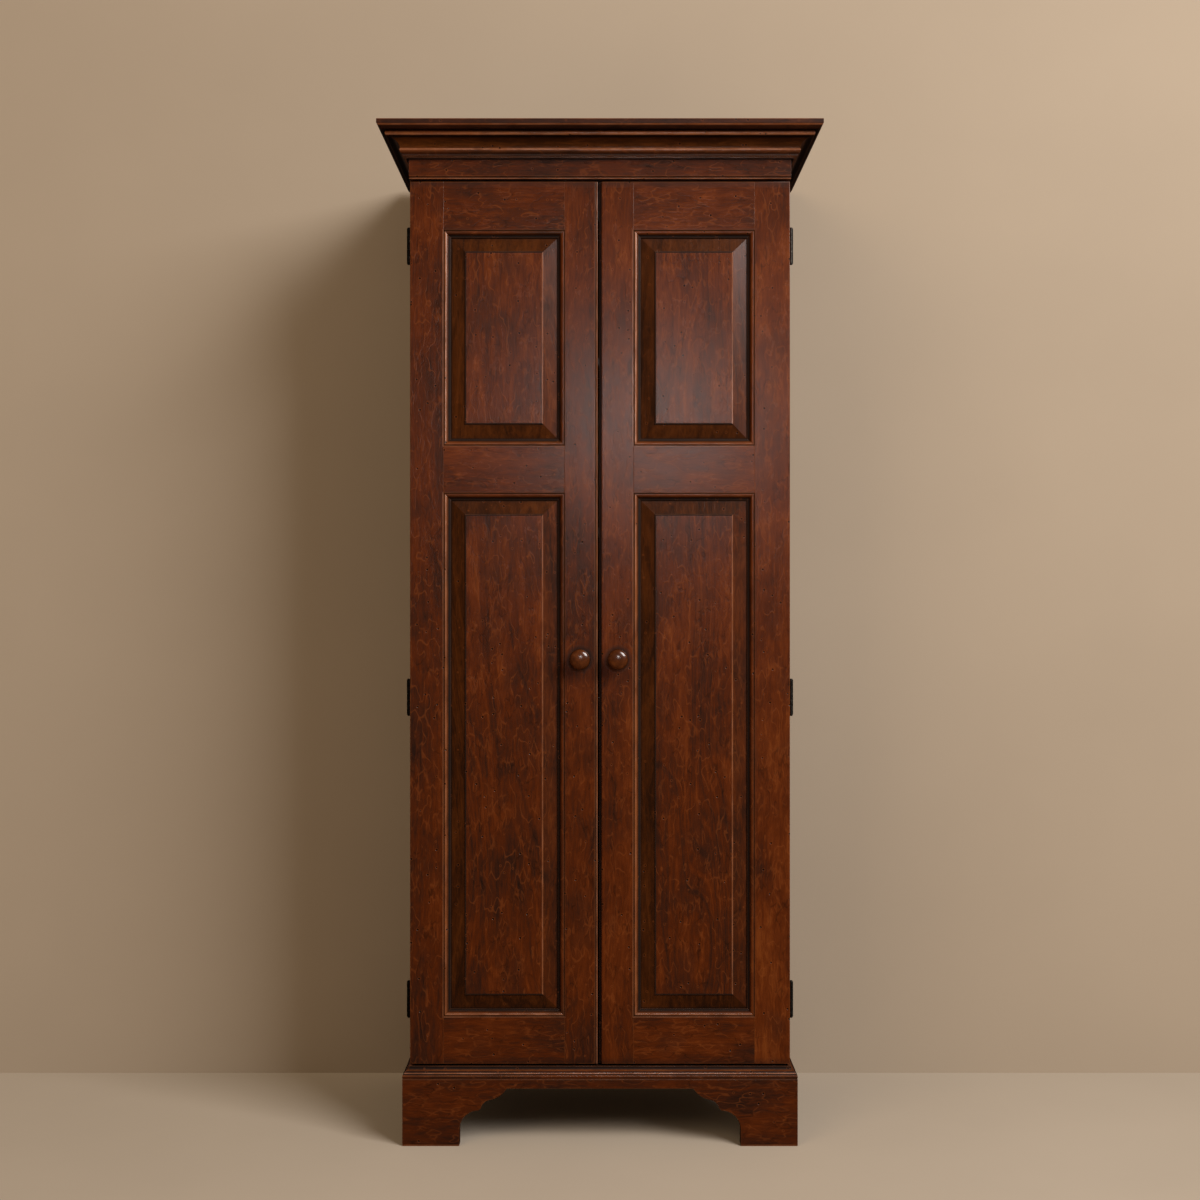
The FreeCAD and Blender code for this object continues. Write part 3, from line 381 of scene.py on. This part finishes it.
def stained(name, along, seed, marks=None, tone_shift=0.0, stops=stain_stops, age=1.0, figure=0.3):
    """Stained wood with its grain along one axis. The marks add glaze with painted shade, rubbed
    arrises with painted highlights, and painted light and shade on bevels and coves.
    """
    finish = Finish(name)
    place = finish.add("ShaderNodeTexCoord", {}, {}, "Object")
    x, y, z = finish.axes(place)
    across, thick, length = {"x": (z, y, x), "y": (x, z, y), "z": (x, y, z)}[along]
    turned = finish.add("ShaderNodeCombineXYZ", {}, {0: across, 1: thick, 2: length})
    draw = random.Random(seed)
    shift = tuple(draw.uniform(-9, 9) for _ in range(3))
    grain = finish.stretched(turned, (1, 1, 1), shift)
    sway = finish.add("ShaderNodeTexNoise", {}, {
        "Vector": finish.stretched(grain, (34, 34, 20)), "Scale": 1.0, "Detail": 2.0}, "Color")
    swayed = finish.add("ShaderNodeVectorMath", {"operation": "MULTIPLY_ADD"},
                        {0: sway, 1: (0.013, 0.013, 0.02), 2: grain})
    # What the wood shows by itself: blotches, fibres and the faint figure of its rings.
    blotch = finish.noise(grain, (13, 13, 6), 3.0, 0.55)
    mottle = finish.noise(swayed, (60, 60, 30), 4.0, 0.62)
    streak = finish.noise(swayed, (170, 170, 8), 3.0, 0.55)
    fibre = finish.noise(swayed, (420, 420, 40), 3.0, 0.6)
    swirl = finish.noise(grain, (6, 6, 1.3), 2.0, 0.45)
    rings = (swirl * 75.0 + across * 120.0).math("SINE")
    vein = rings.rise(0.82, 1.0) - rings.rise(-0.85, -1.0)
    # What use has left: flecks, light and dark hairlines, and smudges.
    patches = finish.noise(grain, (30, 30, 18), 1.0)
    cells = finish.add("ShaderNodeTexVoronoi", {"feature": "DISTANCE_TO_EDGE"}, {
        "Vector": finish.stretched(swayed, (115, 115, 34)), "Scale": 1.0})
    fleck = cells.rise(0.13, 0.0) * patches.rise(0.47, 0.62) * mottle.rise(0.43, 0.53)
    curl = finish.noise(swayed, (58, 58, 22), 1.0, 0.5)
    hair = curl.line(0.53, 0.03) * patches.rise(0.52, 0.4)
    dark_hair = curl.line(0.49, 0.028) * patches.rise(0.46, 0.56)
    smudge = finish.noise(grain, (18, 18, 9), 2.0, 0.55).rise(0.5, 0.72)
    tone = (blotch - 0.5) * (blotch_weight - 0.35 * figure)
    tone = tone + (mottle - 0.5) * mottle_weight + (fibre - 0.5) * fibre_weight
    tone = tone + (streak - 0.5) * streak_weight
    # Painted light: the tone rises with height, so the wood is lighter towards the top.
    tone = tone + vein * (vein_weight * figure) + (z * 0.06 + (base_tone + tone_shift))
    colour = finish.ramp(tone, stops)
    colour = finish.blend(smudge * (smudge_weight * age), colour, smudge_colour)
    colour = finish.blend(dark_hair * (dark_hair_weight * age), colour, glaze_and_shade_colour)
    scuffs = (fleck * fleck_weight + hair * hair_weight) * age
    colour = finish.blend(scuffs, colour, scuff_colour)
    rough = (mottle - 0.5) * 0.12 + plain_roughness
    coat = plain_coat
    height = (fibre - 0.5) * 0.45 + (mottle - 0.5) * 0.6 + (fleck + hair - dark_hair) * 0.2
    worn = finish.add("ShaderNodeAttribute", {"attribute_name": "arris"}, {}, "Fac") * arris_wear
    if marks:
        glaze_and_shade, rub_and_highlight, highlight, light_and_shade, light_and_shade_colour = marks(finish, x, y, z)
        broken = finish.noise(grain, (45, 45, 14), 4.0, 0.65).rise(0.36, 0.64)
        # Painted light and shade from the marks: the panel bevels darkened, the cove lightened.
        uneven = finish.ramp(tone, [(0.25, 0.45), (0.75, 1.4)])
        light_and_shade_tone = finish.blend(1.0, uneven, light_and_shade_colour, "MULTIPLY")
        colour = finish.blend(light_and_shade, colour, light_and_shade_tone)
        # Glaze in the recesses, with painted shade in the gaps, along step edges, round the knobs
        # and under overhangs.
        colour = finish.blend(glaze_and_shade, colour, glaze_and_shade_colour)
        # From here the worn mask holds the painted highlights along with the rubbed arrises.
        worn = worn.most(rub_and_highlight) * (broken * 0.6 + 0.4)
        rough = rough + glaze_and_shade * 0.4 - worn * 0.1
        coat = (1.0 - glaze_and_shade) * plain_coat + worn * rubbed_coat
    colour = finish.blend(worn, colour, rubbed_and_highlight_colour)
    if marks:
        # Painted highlight: pale pink on the lit arrises and beads, broken up by a noise.
        nicked = finish.noise(grain, (90, 90, 30), 3.0, 0.6).rise(0.4, 0.6)
        colour = finish.blend(highlight * (nicked * 0.65 + 0.35), colour, highlight_colour)
    # Wormholes in some cells of a pattern, each in a paler ring.
    holes = finish.add("ShaderNodeTexVoronoi", {}, {
        "Vector": finish.stretched(grain, (holes_per_metre,) * 3), "Scale": 1.0})
    cell = Mask(finish, holes.socket.node.outputs["Color"])
    chosen = finish.axes(cell)[0].rise(*hole_share) * age
    pit = holes.rise(*hole_edge) * chosen
    ring = holes.line(*hole_ring) * chosen
    colour = finish.blend(ring * ring_weight, colour, scuff_colour)
    colour = finish.blend(pit * pit_weight, colour, glaze_and_shade_colour)
    height = height - pit * 1.5
    return finish.principled(Base_Color=colour, Roughness=rough, Specular_IOR_Level=wood_specular,
                             Coat_Weight=coat, Coat_Roughness=coat_roughness,
                             Normal=finish.bump(height, relief))


def table_ramp(finish, value, table):
    """Reads a table of (place, amount) in millimetres at a place given in metres."""
    low, high = table[0][0], table[-1][0]
    scaled = value * (1000 / (high - low)) - low / (high - low)
    return finish.ramp(scaled, [((place - low) / (high - low), tone) for place, tone in table])


# Glaze with painted shade, and wear with painted highlights, by the distance in millimetres out
# from a panel opening's edge, or in from a door's meeting edge. Each pair is a place and an amount.
# The field-edge shadow, the bevel shade and the field-edge highlight are painted light and shade.
frame_glaze_and_shade = [(-46, 0), (-36, 0.15), (-20, 0.15), (-15, 0.25), (-13.6, 0.85), (-12.8, 0.95),
               (-9, 0.95), (-8.2, 0.6), (-6.6, 0.2), (-4.6, 0.1), (-3.4, 0), (-2.2, 0.1),
               (-1.7, 0.95), (0.1, 0.95), (0.6, 0.2), (5, 0), (14, 0)]
frame_rub_and_highlight = [(-46, 0), (-8, 0), (-6.4, 0.6), (-3, 0.9), (-2.2, 0.8), (-1.8, 0), (0.3, 0),
             (0.8, 0.85), (1.6, 0.6), (2.5, 0), (14, 0)]
frame_highlight = [(-46, 0), (-5.6, 0), (-4.8, 0.85), (-3.3, 0.85), (-2.6, 0), (0.4, 0), (0.9, 0.35),
              (1.6, 0.35), (2.4, 0), (14, 0)]
field_edge_shadow = [(-46, 0), (-42.6, 0), (-41.8, 1), (-39.4, 1), (-38, 0), (14, 0)]
bevel_shade = [(-46, 0), (-40.2, 0), (-39.4, 0.65), (-9, 0.65), (-8, 0), (14, 0)]
field_edge_highlight = [(-46, 0), (-43, 0), (-42.2, 0.5), (-40.8, 1), (-40, 0), (14, 0)]
bead_glaze_and_shade = [(0, 0.5), (0.5, 0), (2.5, 0.1), (3.1, 0.95), (4.5, 0.9), (5.2, 0.2), (8, 0)]
bead_rub_and_highlight = [(0, 0), (0.6, 0.4), (1.5, 0.75), (2.5, 0.4), (3.1, 0), (5, 0.3), (8, 0)]
bead_highlight = [(0, 0), (0.8, 0), (1.4, 0.5), (2.2, 0.5), (2.8, 0), (8, 0)]
panel_tongue = 0.0038
step = 0.0004
edge_wear = 0.0022
end_shade = (0.014, 0.001)
knob_shadow = (0.029, 0.018)
gap_start, gap_sides, gap_end = (0.0025, 0.006), (0.005, 0.002), (0.001, 0.0)
meeting_reach = (0.006, 0.003)
highlight_height = (0.9, 1.35)
highlight_foot = (1.0, 0.4)
front_depth = 0.013
door_edge = 0.0205


def door_marks(side):
    """Glaze with painted shade, and wear with painted highlights, by the distance from the edges of
    a door's two panel openings.
    """
    def marks(finish, x, y, z):
        # How far out a point lies from the nearer opening's edge, and on which side of it.
        low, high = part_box("lower_panel_" + side)
        upper_low, upper_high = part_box("upper_panel_" + side)
        middle, half = (low + high) / 2, (high - low) / 2
        upper_middle, upper_half = (upper_low + upper_high) / 2, (upper_high - upper_low) / 2
        upper = z.math("GREATER_THAN", (high.z + upper_low.z) / 2)
        over = z - (upper * (upper_middle.z - middle.z) + middle.z)
        out_z = over.size() - (upper * (upper_half.z - half.z) + (half.z + panel_tongue))
        out_x = (x - middle.x).size() - (half.x + panel_tongue)
        out = out_x.most(out_z)
        # Which side of the opening a point lies on, for the painted shade and highlights that
        # follow the light.
        upright = (out_x - out_z).rise(-step, step)
        right = upright * (x - middle.x).rise(-step, step)
        left = upright * (middle.x - x).rise(-step, step)
        below = (1.0 - upright) * over.rise(step, -step)
        glaze_and_shade = table_ramp(finish, out, frame_glaze_and_shade)
        # Painted shadow of the field's step: dark on its left and top, faint on its right.
        glaze_and_shade = glaze_and_shade.most(table_ramp(finish, out, field_edge_shadow) * (0.95 - right * 0.8))
        # Painted highlight: the rubbed line is brightest on an opening's left and lower sides,
        # which face the light.
        rub_and_highlight = table_ramp(finish, out, frame_rub_and_highlight) * ((left + below * 0.6) * 0.8 + 0.2 - right * 0.1)
        rub_and_highlight = rub_and_highlight.most(table_ramp(finish, out, field_edge_highlight) * right)
        # The painted highlight is stronger higher up the door on left sides, and lower down on
        # lower sides.
        highlight_left = left * (z.rise(*highlight_height) * 0.7 + 0.3)
        highlight_below = below * (z.rise(*highlight_foot) * 0.55 + 0.1)
        highlight = table_ramp(finish, out, frame_highlight) * (highlight_left + highlight_below)
        highlight = highlight.most(table_ramp(finish, out, field_edge_highlight) * (right * 0.3))
        # The door's worn outer edges, the bead on the left door, painted shade along the door's top
        # and bottom ends, and painted shade in the gap between the doors.
        corners = [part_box(stile + side) for stile in ("hinge_stile_", "meeting_stile_")]
        left_edge = min(low.x for low, high in corners)
        right_edge = max(high.x for low, high in corners)
        foot, head = corners[0][0].z, corners[0][1].z
        inside = (x - left_edge).least(right_edge - x).least(z - foot).least(head - z)
        rub_and_highlight = rub_and_highlight.most(inside.rise(edge_wear, 0.0) * 0.5)
        ends = (z - foot).least(head - z)
        glaze_and_shade = glaze_and_shade.most(ends.rise(*end_shade) * 0.4)
        if side == "left":
            glaze_and_shade = glaze_and_shade.most(table_ramp(finish, right_edge - x, bead_glaze_and_shade))
            rub_and_highlight = rub_and_highlight.most(table_ramp(finish, right_edge - x, bead_rub_and_highlight))
            highlight = highlight.most(table_ramp(finish, right_edge - x, bead_highlight))
        meeting = right_edge - x if side == "left" else x - left_edge
        gap_shade = (y - door_face).rise(*gap_start) * inside.rise(*gap_sides)
        gap_shade = gap_shade * (y - (door_face + door_edge)).rise(*gap_end)
        gap_shade = gap_shade * (meeting.rise(*meeting_reach) * 0.55 + 0.35)
        # Painted shadow round the knob.
        knob = sum(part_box("knob_" + side), Vector()) / 2
        reach = ((x - knob.x) * (x - knob.x) + (z - knob.z) * (z - knob.z)).math("SQRT")
        front = (y - (door_face + front_depth)).rise(0.001, 0.0)
        glaze_and_shade = (glaze_and_shade.most(reach.rise(*knob_shadow) * 0.75) * front).most(gap_shade)
        # Painted shade on the panel bevels, lighter on the right-hand bevel, which faces the light.
        light_and_shade = table_ramp(finish, out, bevel_shade) * (1.0 - right * 0.7)
        lit = front * (1.0 - gap_shade)
        return glaze_and_shade, rub_and_highlight * lit, highlight * lit, light_and_shade * front, bevel_shade_colour
    return marks


arris = 0.0005
for number, side in enumerate(("left", "right")):
    marks = door_marks(side)
    boards = (("hinge_stile_", "z", (-0.08, 0.16)), ("meeting_stile_", "z", (-0.03, 0.07)),
              ("top_rail_", "x", (-0.06, -0.02)), ("lock_rail_", "x", (0.01, 0.13)),
              ("bottom_rail_", "x", (0.0, 0.04)), ("upper_panel_", "z", (0.05, 0.04)),
              ("lower_panel_", "z", (0.0, 0.02)))
    for index, (stem, along, tones) in enumerate(boards):
        figure = 1.0 if "panel" in stem else 0.3
        board = worked(stem + side, arris, panel_crease if "panel" in stem else frame_crease)
        board.data.materials.append(stained(
            "stain_" + stem + side, along, 10 * number + index + 1, marks, tones[number],
            figure=figure))

# The knobs: turned from one piece, a foot, a slim neck and a low domed head, stained darker than
# the doors and polished on the lathe. Each is held by a screw through the stile. The profile is
# given as radii and heights above the door.
knob_profile = (
    (0.0103, 0.0), (0.0106, 0.001), (0.0103, 0.0021), (0.0092, 0.0026), (0.0081, 0.0045),
    (0.0076, 0.0075), (0.0078, 0.0100), (0.0090, 0.0130), (0.0114, 0.0162), (0.0146, 0.0190),
    (0.0172, 0.0210), (0.0188, 0.0227), (0.0193, 0.0244), (0.0191, 0.0262), (0.0185, 0.0278),
    (0.0176, 0.0290), (0.0163, 0.0303), (0.0148, 0.03125), (0.0128, 0.0321), (0.0104, 0.0328),
    (0.0078, 0.03333), (0.0050, 0.03375), (0.0022, 0.0339))
knob_sides = 64
knob_tip = 0.0002
head_back = 0.0252
knob_rim = (0.0174, 0.0190)
lathe_marks = 5200.0


def turned_wood(name, centre):
    """Dark polished wood with fine lathe lines round the centre, and painted shade on the foot,
    neck and underside of the head and at the rim.
    """
    finish = Finish(name)
    place = finish.add("ShaderNodeTexCoord", {}, {}, "Object")
    x, y, z = finish.axes(place)
    grain = finish.noise(place, (150, 20, 150), 3.0, 0.6)
    blotch = finish.noise(place, (40, 40, 40), 2.0)
    radius = ((x - centre.x) * (x - centre.x) + (z - centre.z) * (z - centre.z)).math("SQRT")
    tooled = (radius * lathe_marks).math("SINE")
    tone = (grain - 0.5) * 0.7 + (blotch - 0.5) * 0.5 + tooled * 0.06 + 0.5
    colour = finish.ramp(tone, [(0.2, (0.029, 0.0082, 0.0028)), (0.5, (0.060, 0.0145, 0.0030)),
                                (0.8, (0.115, 0.030, 0.0062))])
    # Painted shade on the foot, neck and underside of the head, and round the rim.
    underside_shade = (y - (door_face - head_back)).rise(0.0, 0.003)
    rim_shade = radius.rise(*knob_rim)
    colour = finish.blend(underside_shade.most(rim_shade) * 0.9, colour, glaze_and_shade_colour)
    return finish.principled(Base_Color=colour, Roughness=(blotch - 0.5) * 0.1 + 0.24,
                             Specular_IOR_Level=0.3, Coat_Weight=0.65, Coat_Roughness=0.1,
                             Normal=finish.bump(grain, 0.000004))


for side in ("left", "right"):
    low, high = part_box("knob_" + side)
    centre = (low + high) / 2
    bpy.ops.object.select_all(action="DESELECT")
    first_radius = knob_profile[0][0]
    bpy.ops.mesh.primitive_circle_add(vertices=knob_sides, radius=first_radius,
                                      fill_type="NGON", rotation=(math.pi / 2, 0, 0),
                                      location=(centre.x, door_face, centre.z))
    knob = bpy.context.object
    knob.name = "turned_knob_" + side
    bpy.ops.object.transform_apply(location=True, rotation=True, scale=True)
    bpy.ops.object.mode_set(mode="EDIT")
    bpy.ops.mesh.select_all(action="SELECT")
    for (radius, height), (wider, higher) in zip(knob_profile, knob_profile[1:]):
        bpy.ops.mesh.extrude_region_move(
            TRANSFORM_OT_translate={"value": (0, height - higher, 0)})
        bpy.ops.transform.resize(value=(wider / radius, 1, wider / radius),
                                 center_override=(centre.x, door_face - higher, centre.z))
    bpy.ops.mesh.extrude_region_move(TRANSFORM_OT_translate={"value": (0, -knob_tip, 0)})
    bpy.ops.mesh.merge(type="CENTER")
    bpy.ops.mesh.select_all(action="SELECT")
    bpy.ops.mesh.normals_make_consistent(inside=False)
    bpy.ops.object.mode_set(mode="OBJECT")
    bpy.ops.object.shade_smooth_by_angle(angle=math.radians(50))
    knob.data.materials.append(turned_wood("polish_knob_" + side, centre))
    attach(knob, "door_" + side)
    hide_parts("knob_" + side)

# The hinges: three butt hinges to a door, of pressed steel blackened in oil, with five knuckles
# and tipped pins, let in and screwed. The black is rubbed a little bright.
leaf_arris = 0.00035


def blackened(name, bright):
    """Oil-blackened steel, worn through in small clouds."""
    finish = Finish(name)
    place = finish.add("ShaderNodeTexCoord", {}, {}, "Object")
    cloud = finish.noise(place, (160, 160, 160), 4.0, 0.6)
    fine = finish.noise(place, (900, 900, 900), 2.0, 0.5)
    worn = (cloud + fine * 0.3).rise(0.74, 0.98) * bright
    colour = finish.blend(worn, finish.ramp(cloud, [(0.3, (0.010, 0.0085, 0.0075)),
                                                    (0.7, (0.030, 0.025, 0.020))]),
                          (0.16, 0.135, 0.105))
    return finish.principled(Base_Color=colour, Metallic=0.85, Roughness=cloud * 0.3 + 0.26,
                             Normal=finish.bump(cloud + fine * 0.3, 0.0001))


for node, ease, bright in (
        ("case_hinge_leaves", leaf_arris, 0.8), ("hinge_pins", 0, 0.5),
        ("hinge_leaves_left", leaf_arris, 0.8), ("hinge_leaves_right", leaf_arris, 0.8)):
    worked(node, ease).data.materials.append(blackened("blacking_" + node, bright))
for node in ("case_screws", "hinge_screws_left", "hinge_screws_right"):
    for slot in frame["nodes"][node].material_slots:
        slot.material = blackened("blacking_" + node, 1.0)


# The case: two side boards and a face frame of the same wood as the doors, with the grain upright
# in the sides and stiles. They are glued and stained like the doors, but never rubbed.
for index, (node, along) in enumerate((
        ("side_left", "z"), ("side_right", "z"), ("face_stile_left", "z"),
        ("face_stile_right", "z"), ("face_rail_top", "x"), ("face_rail_bottom", "x"))):
    material = stained("stain_" + node, along, 60 + index, None, -0.03, stain_stops, 0.7)
    for slot in frame["nodes"][node].material_slots:
        slot.material = material

# The cornice: a frieze board with a bead on its lower edge, a cove crown moulding and a moulded
# cap, mitred at the front corners. The glaze and painted shade lie darkest under the cap and in the
# quirks, painted highlights run along the beads and the lip, and the cove gets painted light
# against the cap's shadow. The tables go by the height above a piece's foot, in millimetres.
frieze_glaze_and_shade = [(0, 0.3), (0.3, 0), (1.9, 0), (2.5, 0.9), (4.3, 0.9), (5, 0.1), (32, 0.05),
                (36, 0.1), (36.8, 0.6), (38.5, 0.6), (40, 0.1), (80.5, 0.1)]
frieze_rub_and_highlight = [(0, 0.3), (0.4, 0.9), (1.6, 0.9), (2.2, 0), (5, 0), (5.8, 0.3), (7.5, 0), (80.5, 0)]
frieze_highlight = [(0, 0), (0.4, 0.4), (1.5, 0.4), (2.1, 0), (80.5, 0)]
crown_glaze_and_shade = [(0, 0.95), (1, 0.95), (1.6, 0.1), (3.1, 0.1), (3.4, 0.8), (6.3, 0.7), (7.2, 0.2),
               (10, 0.05), (16.4, 0.05), (17.2, 0.25), (18, 0.05), (31, 0.15), (33.6, 0.9),
               (34.6, 0.6), (35, 0), (38.4, 0.05), (41, 0.3), (43.5, 0.9)]
crown_rub_and_highlight = [(0, 0), (1.2, 0.3), (2.2, 0.9), (3.1, 0.9), (3.4, 0), (7, 0), (9, 0.15), (12, 0.3),
             (13.4, 0.8), (16.2, 0.8), (17.2, 0), (34.4, 0), (35, 0.8), (37.6, 0.9), (39, 0.4),
             (41, 0.1), (43.5, 0)]
crown_highlight = [(0, 0), (1.8, 0), (2.3, 0.35), (3.1, 0.35), (3.4, 0), (13, 0), (13.8, 0.6),
              (15.4, 0.6), (16.2, 0), (34.6, 0), (35.2, 0.25), (36.6, 0.25), (37.4, 0), (43.5, 0)]
# Painted light: the cove is lightened with a warm brown against the cap's shadow.
cove_light = [(0, 0), (17.6, 0), (18.6, 0.8), (33.2, 0.8), (34.2, 0), (43.5, 0)]
cove_light_colour = (0.112, 0.0305, 0.0036)
cap_glaze_and_shade = [(0, 0.8), (1.2, 0.6), (5.2, 0.6), (6.2, 0), (8.2, 0), (9, 0.6), (15.4, 0.55),
             (16.4, 0.1), (17.5, 0.1)]
cap_rub_and_highlight = [(0, 0), (5.4, 0), (6.4, 0.55), (8, 0.55), (8.8, 0), (15.8, 0), (16.6, 0.3), (17.3, 0.3),
           (17.5, 0)]
cap_highlight = [(0, 0), (5.8, 0), (6.8, 0.15), (8, 0.15), (9, 0), (17.5, 0)]


def level_marks(node, glaze_and_shade_table, rub_and_highlight_table, highlight_table=None, light_and_shade_table=None, shaded_ledge=None):
    """Glaze with painted shade, wear with painted highlights, and painted light in the cove, along
    a moulding by the height above its foot. Behind a shaded ledge it gets painted shade.
    """
    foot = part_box(node)[0].z

    def marks(finish, x, y, z):
        read = [table_ramp(finish, z - foot, table) if table else 0.0
                for table in (glaze_and_shade_table, rub_and_highlight_table, highlight_table, light_and_shade_table)]
        if shaded_ledge:
            # Painted shade behind the ledge, where the doors overhang it.
            dark = (y - shaded_ledge).rise(-0.001, 0.001)
            lit = 1.0 - dark
            read = [read[0].most(dark * 0.9), read[1] * lit, read[2] * lit, read[3]]
        return (*read, cove_light_colour)
    return marks


for stem, tables, seed in (("frieze_", (frieze_glaze_and_shade, frieze_rub_and_highlight, frieze_highlight), 70),
                           ("crown_", (crown_glaze_and_shade, crown_rub_and_highlight, crown_highlight, cove_light), 80)):
    for index, (end, along) in enumerate((("front", "x"), ("left", "y"), ("right", "y"))):
        board = worked(stem + end, arris)
        board.data.materials.append(stained(
            "stain_" + stem + end, along, seed + index, level_marks(stem + end, *tables),
            -0.26 if stem == "frieze_" else -0.2))
cap = worked("top_cap", arris)
cap.data.materials.append(stained("stain_top_cap", "x", 90,
                                  level_marks("top_cap", cap_glaze_and_shade, cap_rub_and_highlight, cap_highlight), -0.05))

# The base: a moulded frame on three bracket boards with a shaped cut-out, mitred at the front. It
# takes the knocks, so its upper members are rubbed most; its moulding also has painted highlights
# on the beads, and painted shade in the quirks, under the moulding and on its top behind the doors.
base_frame_glaze_and_shade = [(0, 0.8), (0.7, 0.3), (3, 0.1), (6.6, 0.1), (7.1, 0.9), (8.1, 0.9), (8.6, 0),
                    (10.4, 0), (11, 0.6), (12.6, 0.5), (13.2, 0), (15.6, 0), (16.6, 0.85),
                    (20, 0.85), (20.4, 0), (21.1, 0.1)]
base_frame_rub_and_highlight = [(0, 0), (4.2, 0), (4.9, 0.6), (6.2, 0.6), (6.8, 0), (8.4, 0), (8.9, 0.7),
                  (10.2, 0.7), (10.8, 0), (13, 0), (13.6, 0.55), (15.2, 0.55), (16, 0), (20, 0),
                  (20.4, 0.7), (21.1, 0.4)]
base_frame_highlight = [(0, 0), (8.4, 0), (8.9, 0.55), (10, 0.55), (10.6, 0), (20, 0), (20.4, 0.2),
                   (21.1, 0.1)]
base_glaze_and_shade = [(0, 0.5), (2, 0.1), (3.5, 0.45), (8, 0.25), (20, 0.12), (60, 0.05), (110, 0.05),
              (121, 0.15), (124, 0.5), (125, 0.9)]
base_rub = [(0, 0.85), (2.2, 0.75), (3.4, 0), (122, 0), (123.6, 0.35), (124.6, 0), (125, 0)]
base_arris = 0.0008
door_overhang = 0.003
# Painted shade on the base moulding's top, behind the door's face.
shaded_ledges = {"base_frame_front": door_face - door_overhang}
for stem, tables, seed in (
        ("base_frame_", (base_frame_glaze_and_shade, base_frame_rub_and_highlight, base_frame_highlight), 100),
        ("base_", (base_glaze_and_shade, base_rub), 110)):
    for index, (end, along) in enumerate((("front", "x"), ("left", "y"), ("right", "y"))):
        board = worked(stem + end, base_arris)
        board.data.materials.append(stained(
            "stain_" + stem + end, along, seed + index,
            level_marks(stem + end, *tables, shaded_ledge=shaded_ledges.get(stem + end)), -0.03))

# The inside: bottom and top boards housed in the sides, and loose shelves on pins. They are
# stained thinner and more evenly than the outside, and not glazed.
thin_stain = 1.35
inner_stops = [(place, tuple(tone * thin_stain for tone in colour))
               for place, colour in stain_stops]
for index, node in enumerate((
        "case_bottom", "case_top", "shelf_1", "shelf_2", "shelf_3", "shelf_4")):
    material = stained("stain_" + node, "x", 120 + index, None, 0.05, inner_stops, 0.3)
    for slot in frame["nodes"][node].material_slots:
        slot.material = material

# The unseen wood: back boards, the rails behind, and the glue blocks, of a plain softer wood that
# only got a thin wash of stain.
plain_stops = [(0.0, (0.058, 0.0205, 0.0075)), (0.3, (0.092, 0.034, 0.0120)),
               (0.5, (0.121, 0.047, 0.0165)), (0.75, (0.156, 0.063, 0.0230)),
               (1.0, (0.20, 0.085, 0.034))]
for index, (node, along) in enumerate((
        ("back_boards", "z"), ("cornice_back", "x"), ("base_back", "x"),
        ("base_frame_back", "x"), ("glue_blocks", "z"))):
    material = stained("wash_" + node, along, 130 + index, None, 0.0, plain_stops, 0.15)
    for slot in frame["nodes"][node].material_slots:
        slot.material = material


# The small fittings: brass-plated shelf pins, the catch's moulded case, steel strike plates and
# the zinc-plated screws that hold the knobs.
def plated(name, colour, roughness):
    """Brushed plating, duller in clouds."""
    finish = Finish(name)
    place = finish.add("ShaderNodeTexCoord", {}, {}, "Object")
    cloud = finish.noise(place, (220, 220, 220), 4.0, 0.6)
    brushed = finish.noise(place, (90, 2400, 2400), 2.0, 0.5)
    tone = finish.ramp(cloud * 0.6 + brushed * 0.4, [(0.3, tuple(c * 0.62 for c in colour)),
                                                     (0.7, colour)])
    return finish.principled(Base_Color=tone, Metallic=1.0, Roughness=brushed * 0.2 + roughness,
                             Normal=finish.bump(brushed + cloud, 0.00004))


def moulded(name, colour):
    """Plain moulded plastic with a fine grain."""
    finish = Finish(name)
    place = finish.add("ShaderNodeTexCoord", {}, {}, "Object")
    grain = finish.noise(place, (1500, 1500, 1500), 2.0)
    cloud = finish.noise(place, (60, 60, 60), 3.0)
    tone = finish.ramp(cloud, [(0.3, tuple(c * 0.8 for c in colour)), (0.7, colour)])
    return finish.principled(Base_Color=tone, Roughness=grain * 0.12 + 0.42,
                             Normal=finish.bump(grain, 0.00005))


for node, material in (("shelf_pins", plated("dull_brass", (0.55, 0.36, 0.13), 0.28)),
                       ("strike_left", plated("strike_steel_left", (0.5, 0.49, 0.47), 0.3)),
                       ("strike_right", plated("strike_steel_right", (0.5, 0.49, 0.47), 0.3)),
                       ("knob_screw_left", plated("zinc_left", (0.6, 0.6, 0.58), 0.22)),
                       ("knob_screw_right", plated("zinc_right", (0.6, 0.6, 0.58), 0.22)),
                       ("magnetic_catch", moulded("catch_brown", (0.036, 0.018, 0.011)))):
    for slot in frame["nodes"][node].material_slots:
        slot.material = material

low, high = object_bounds()
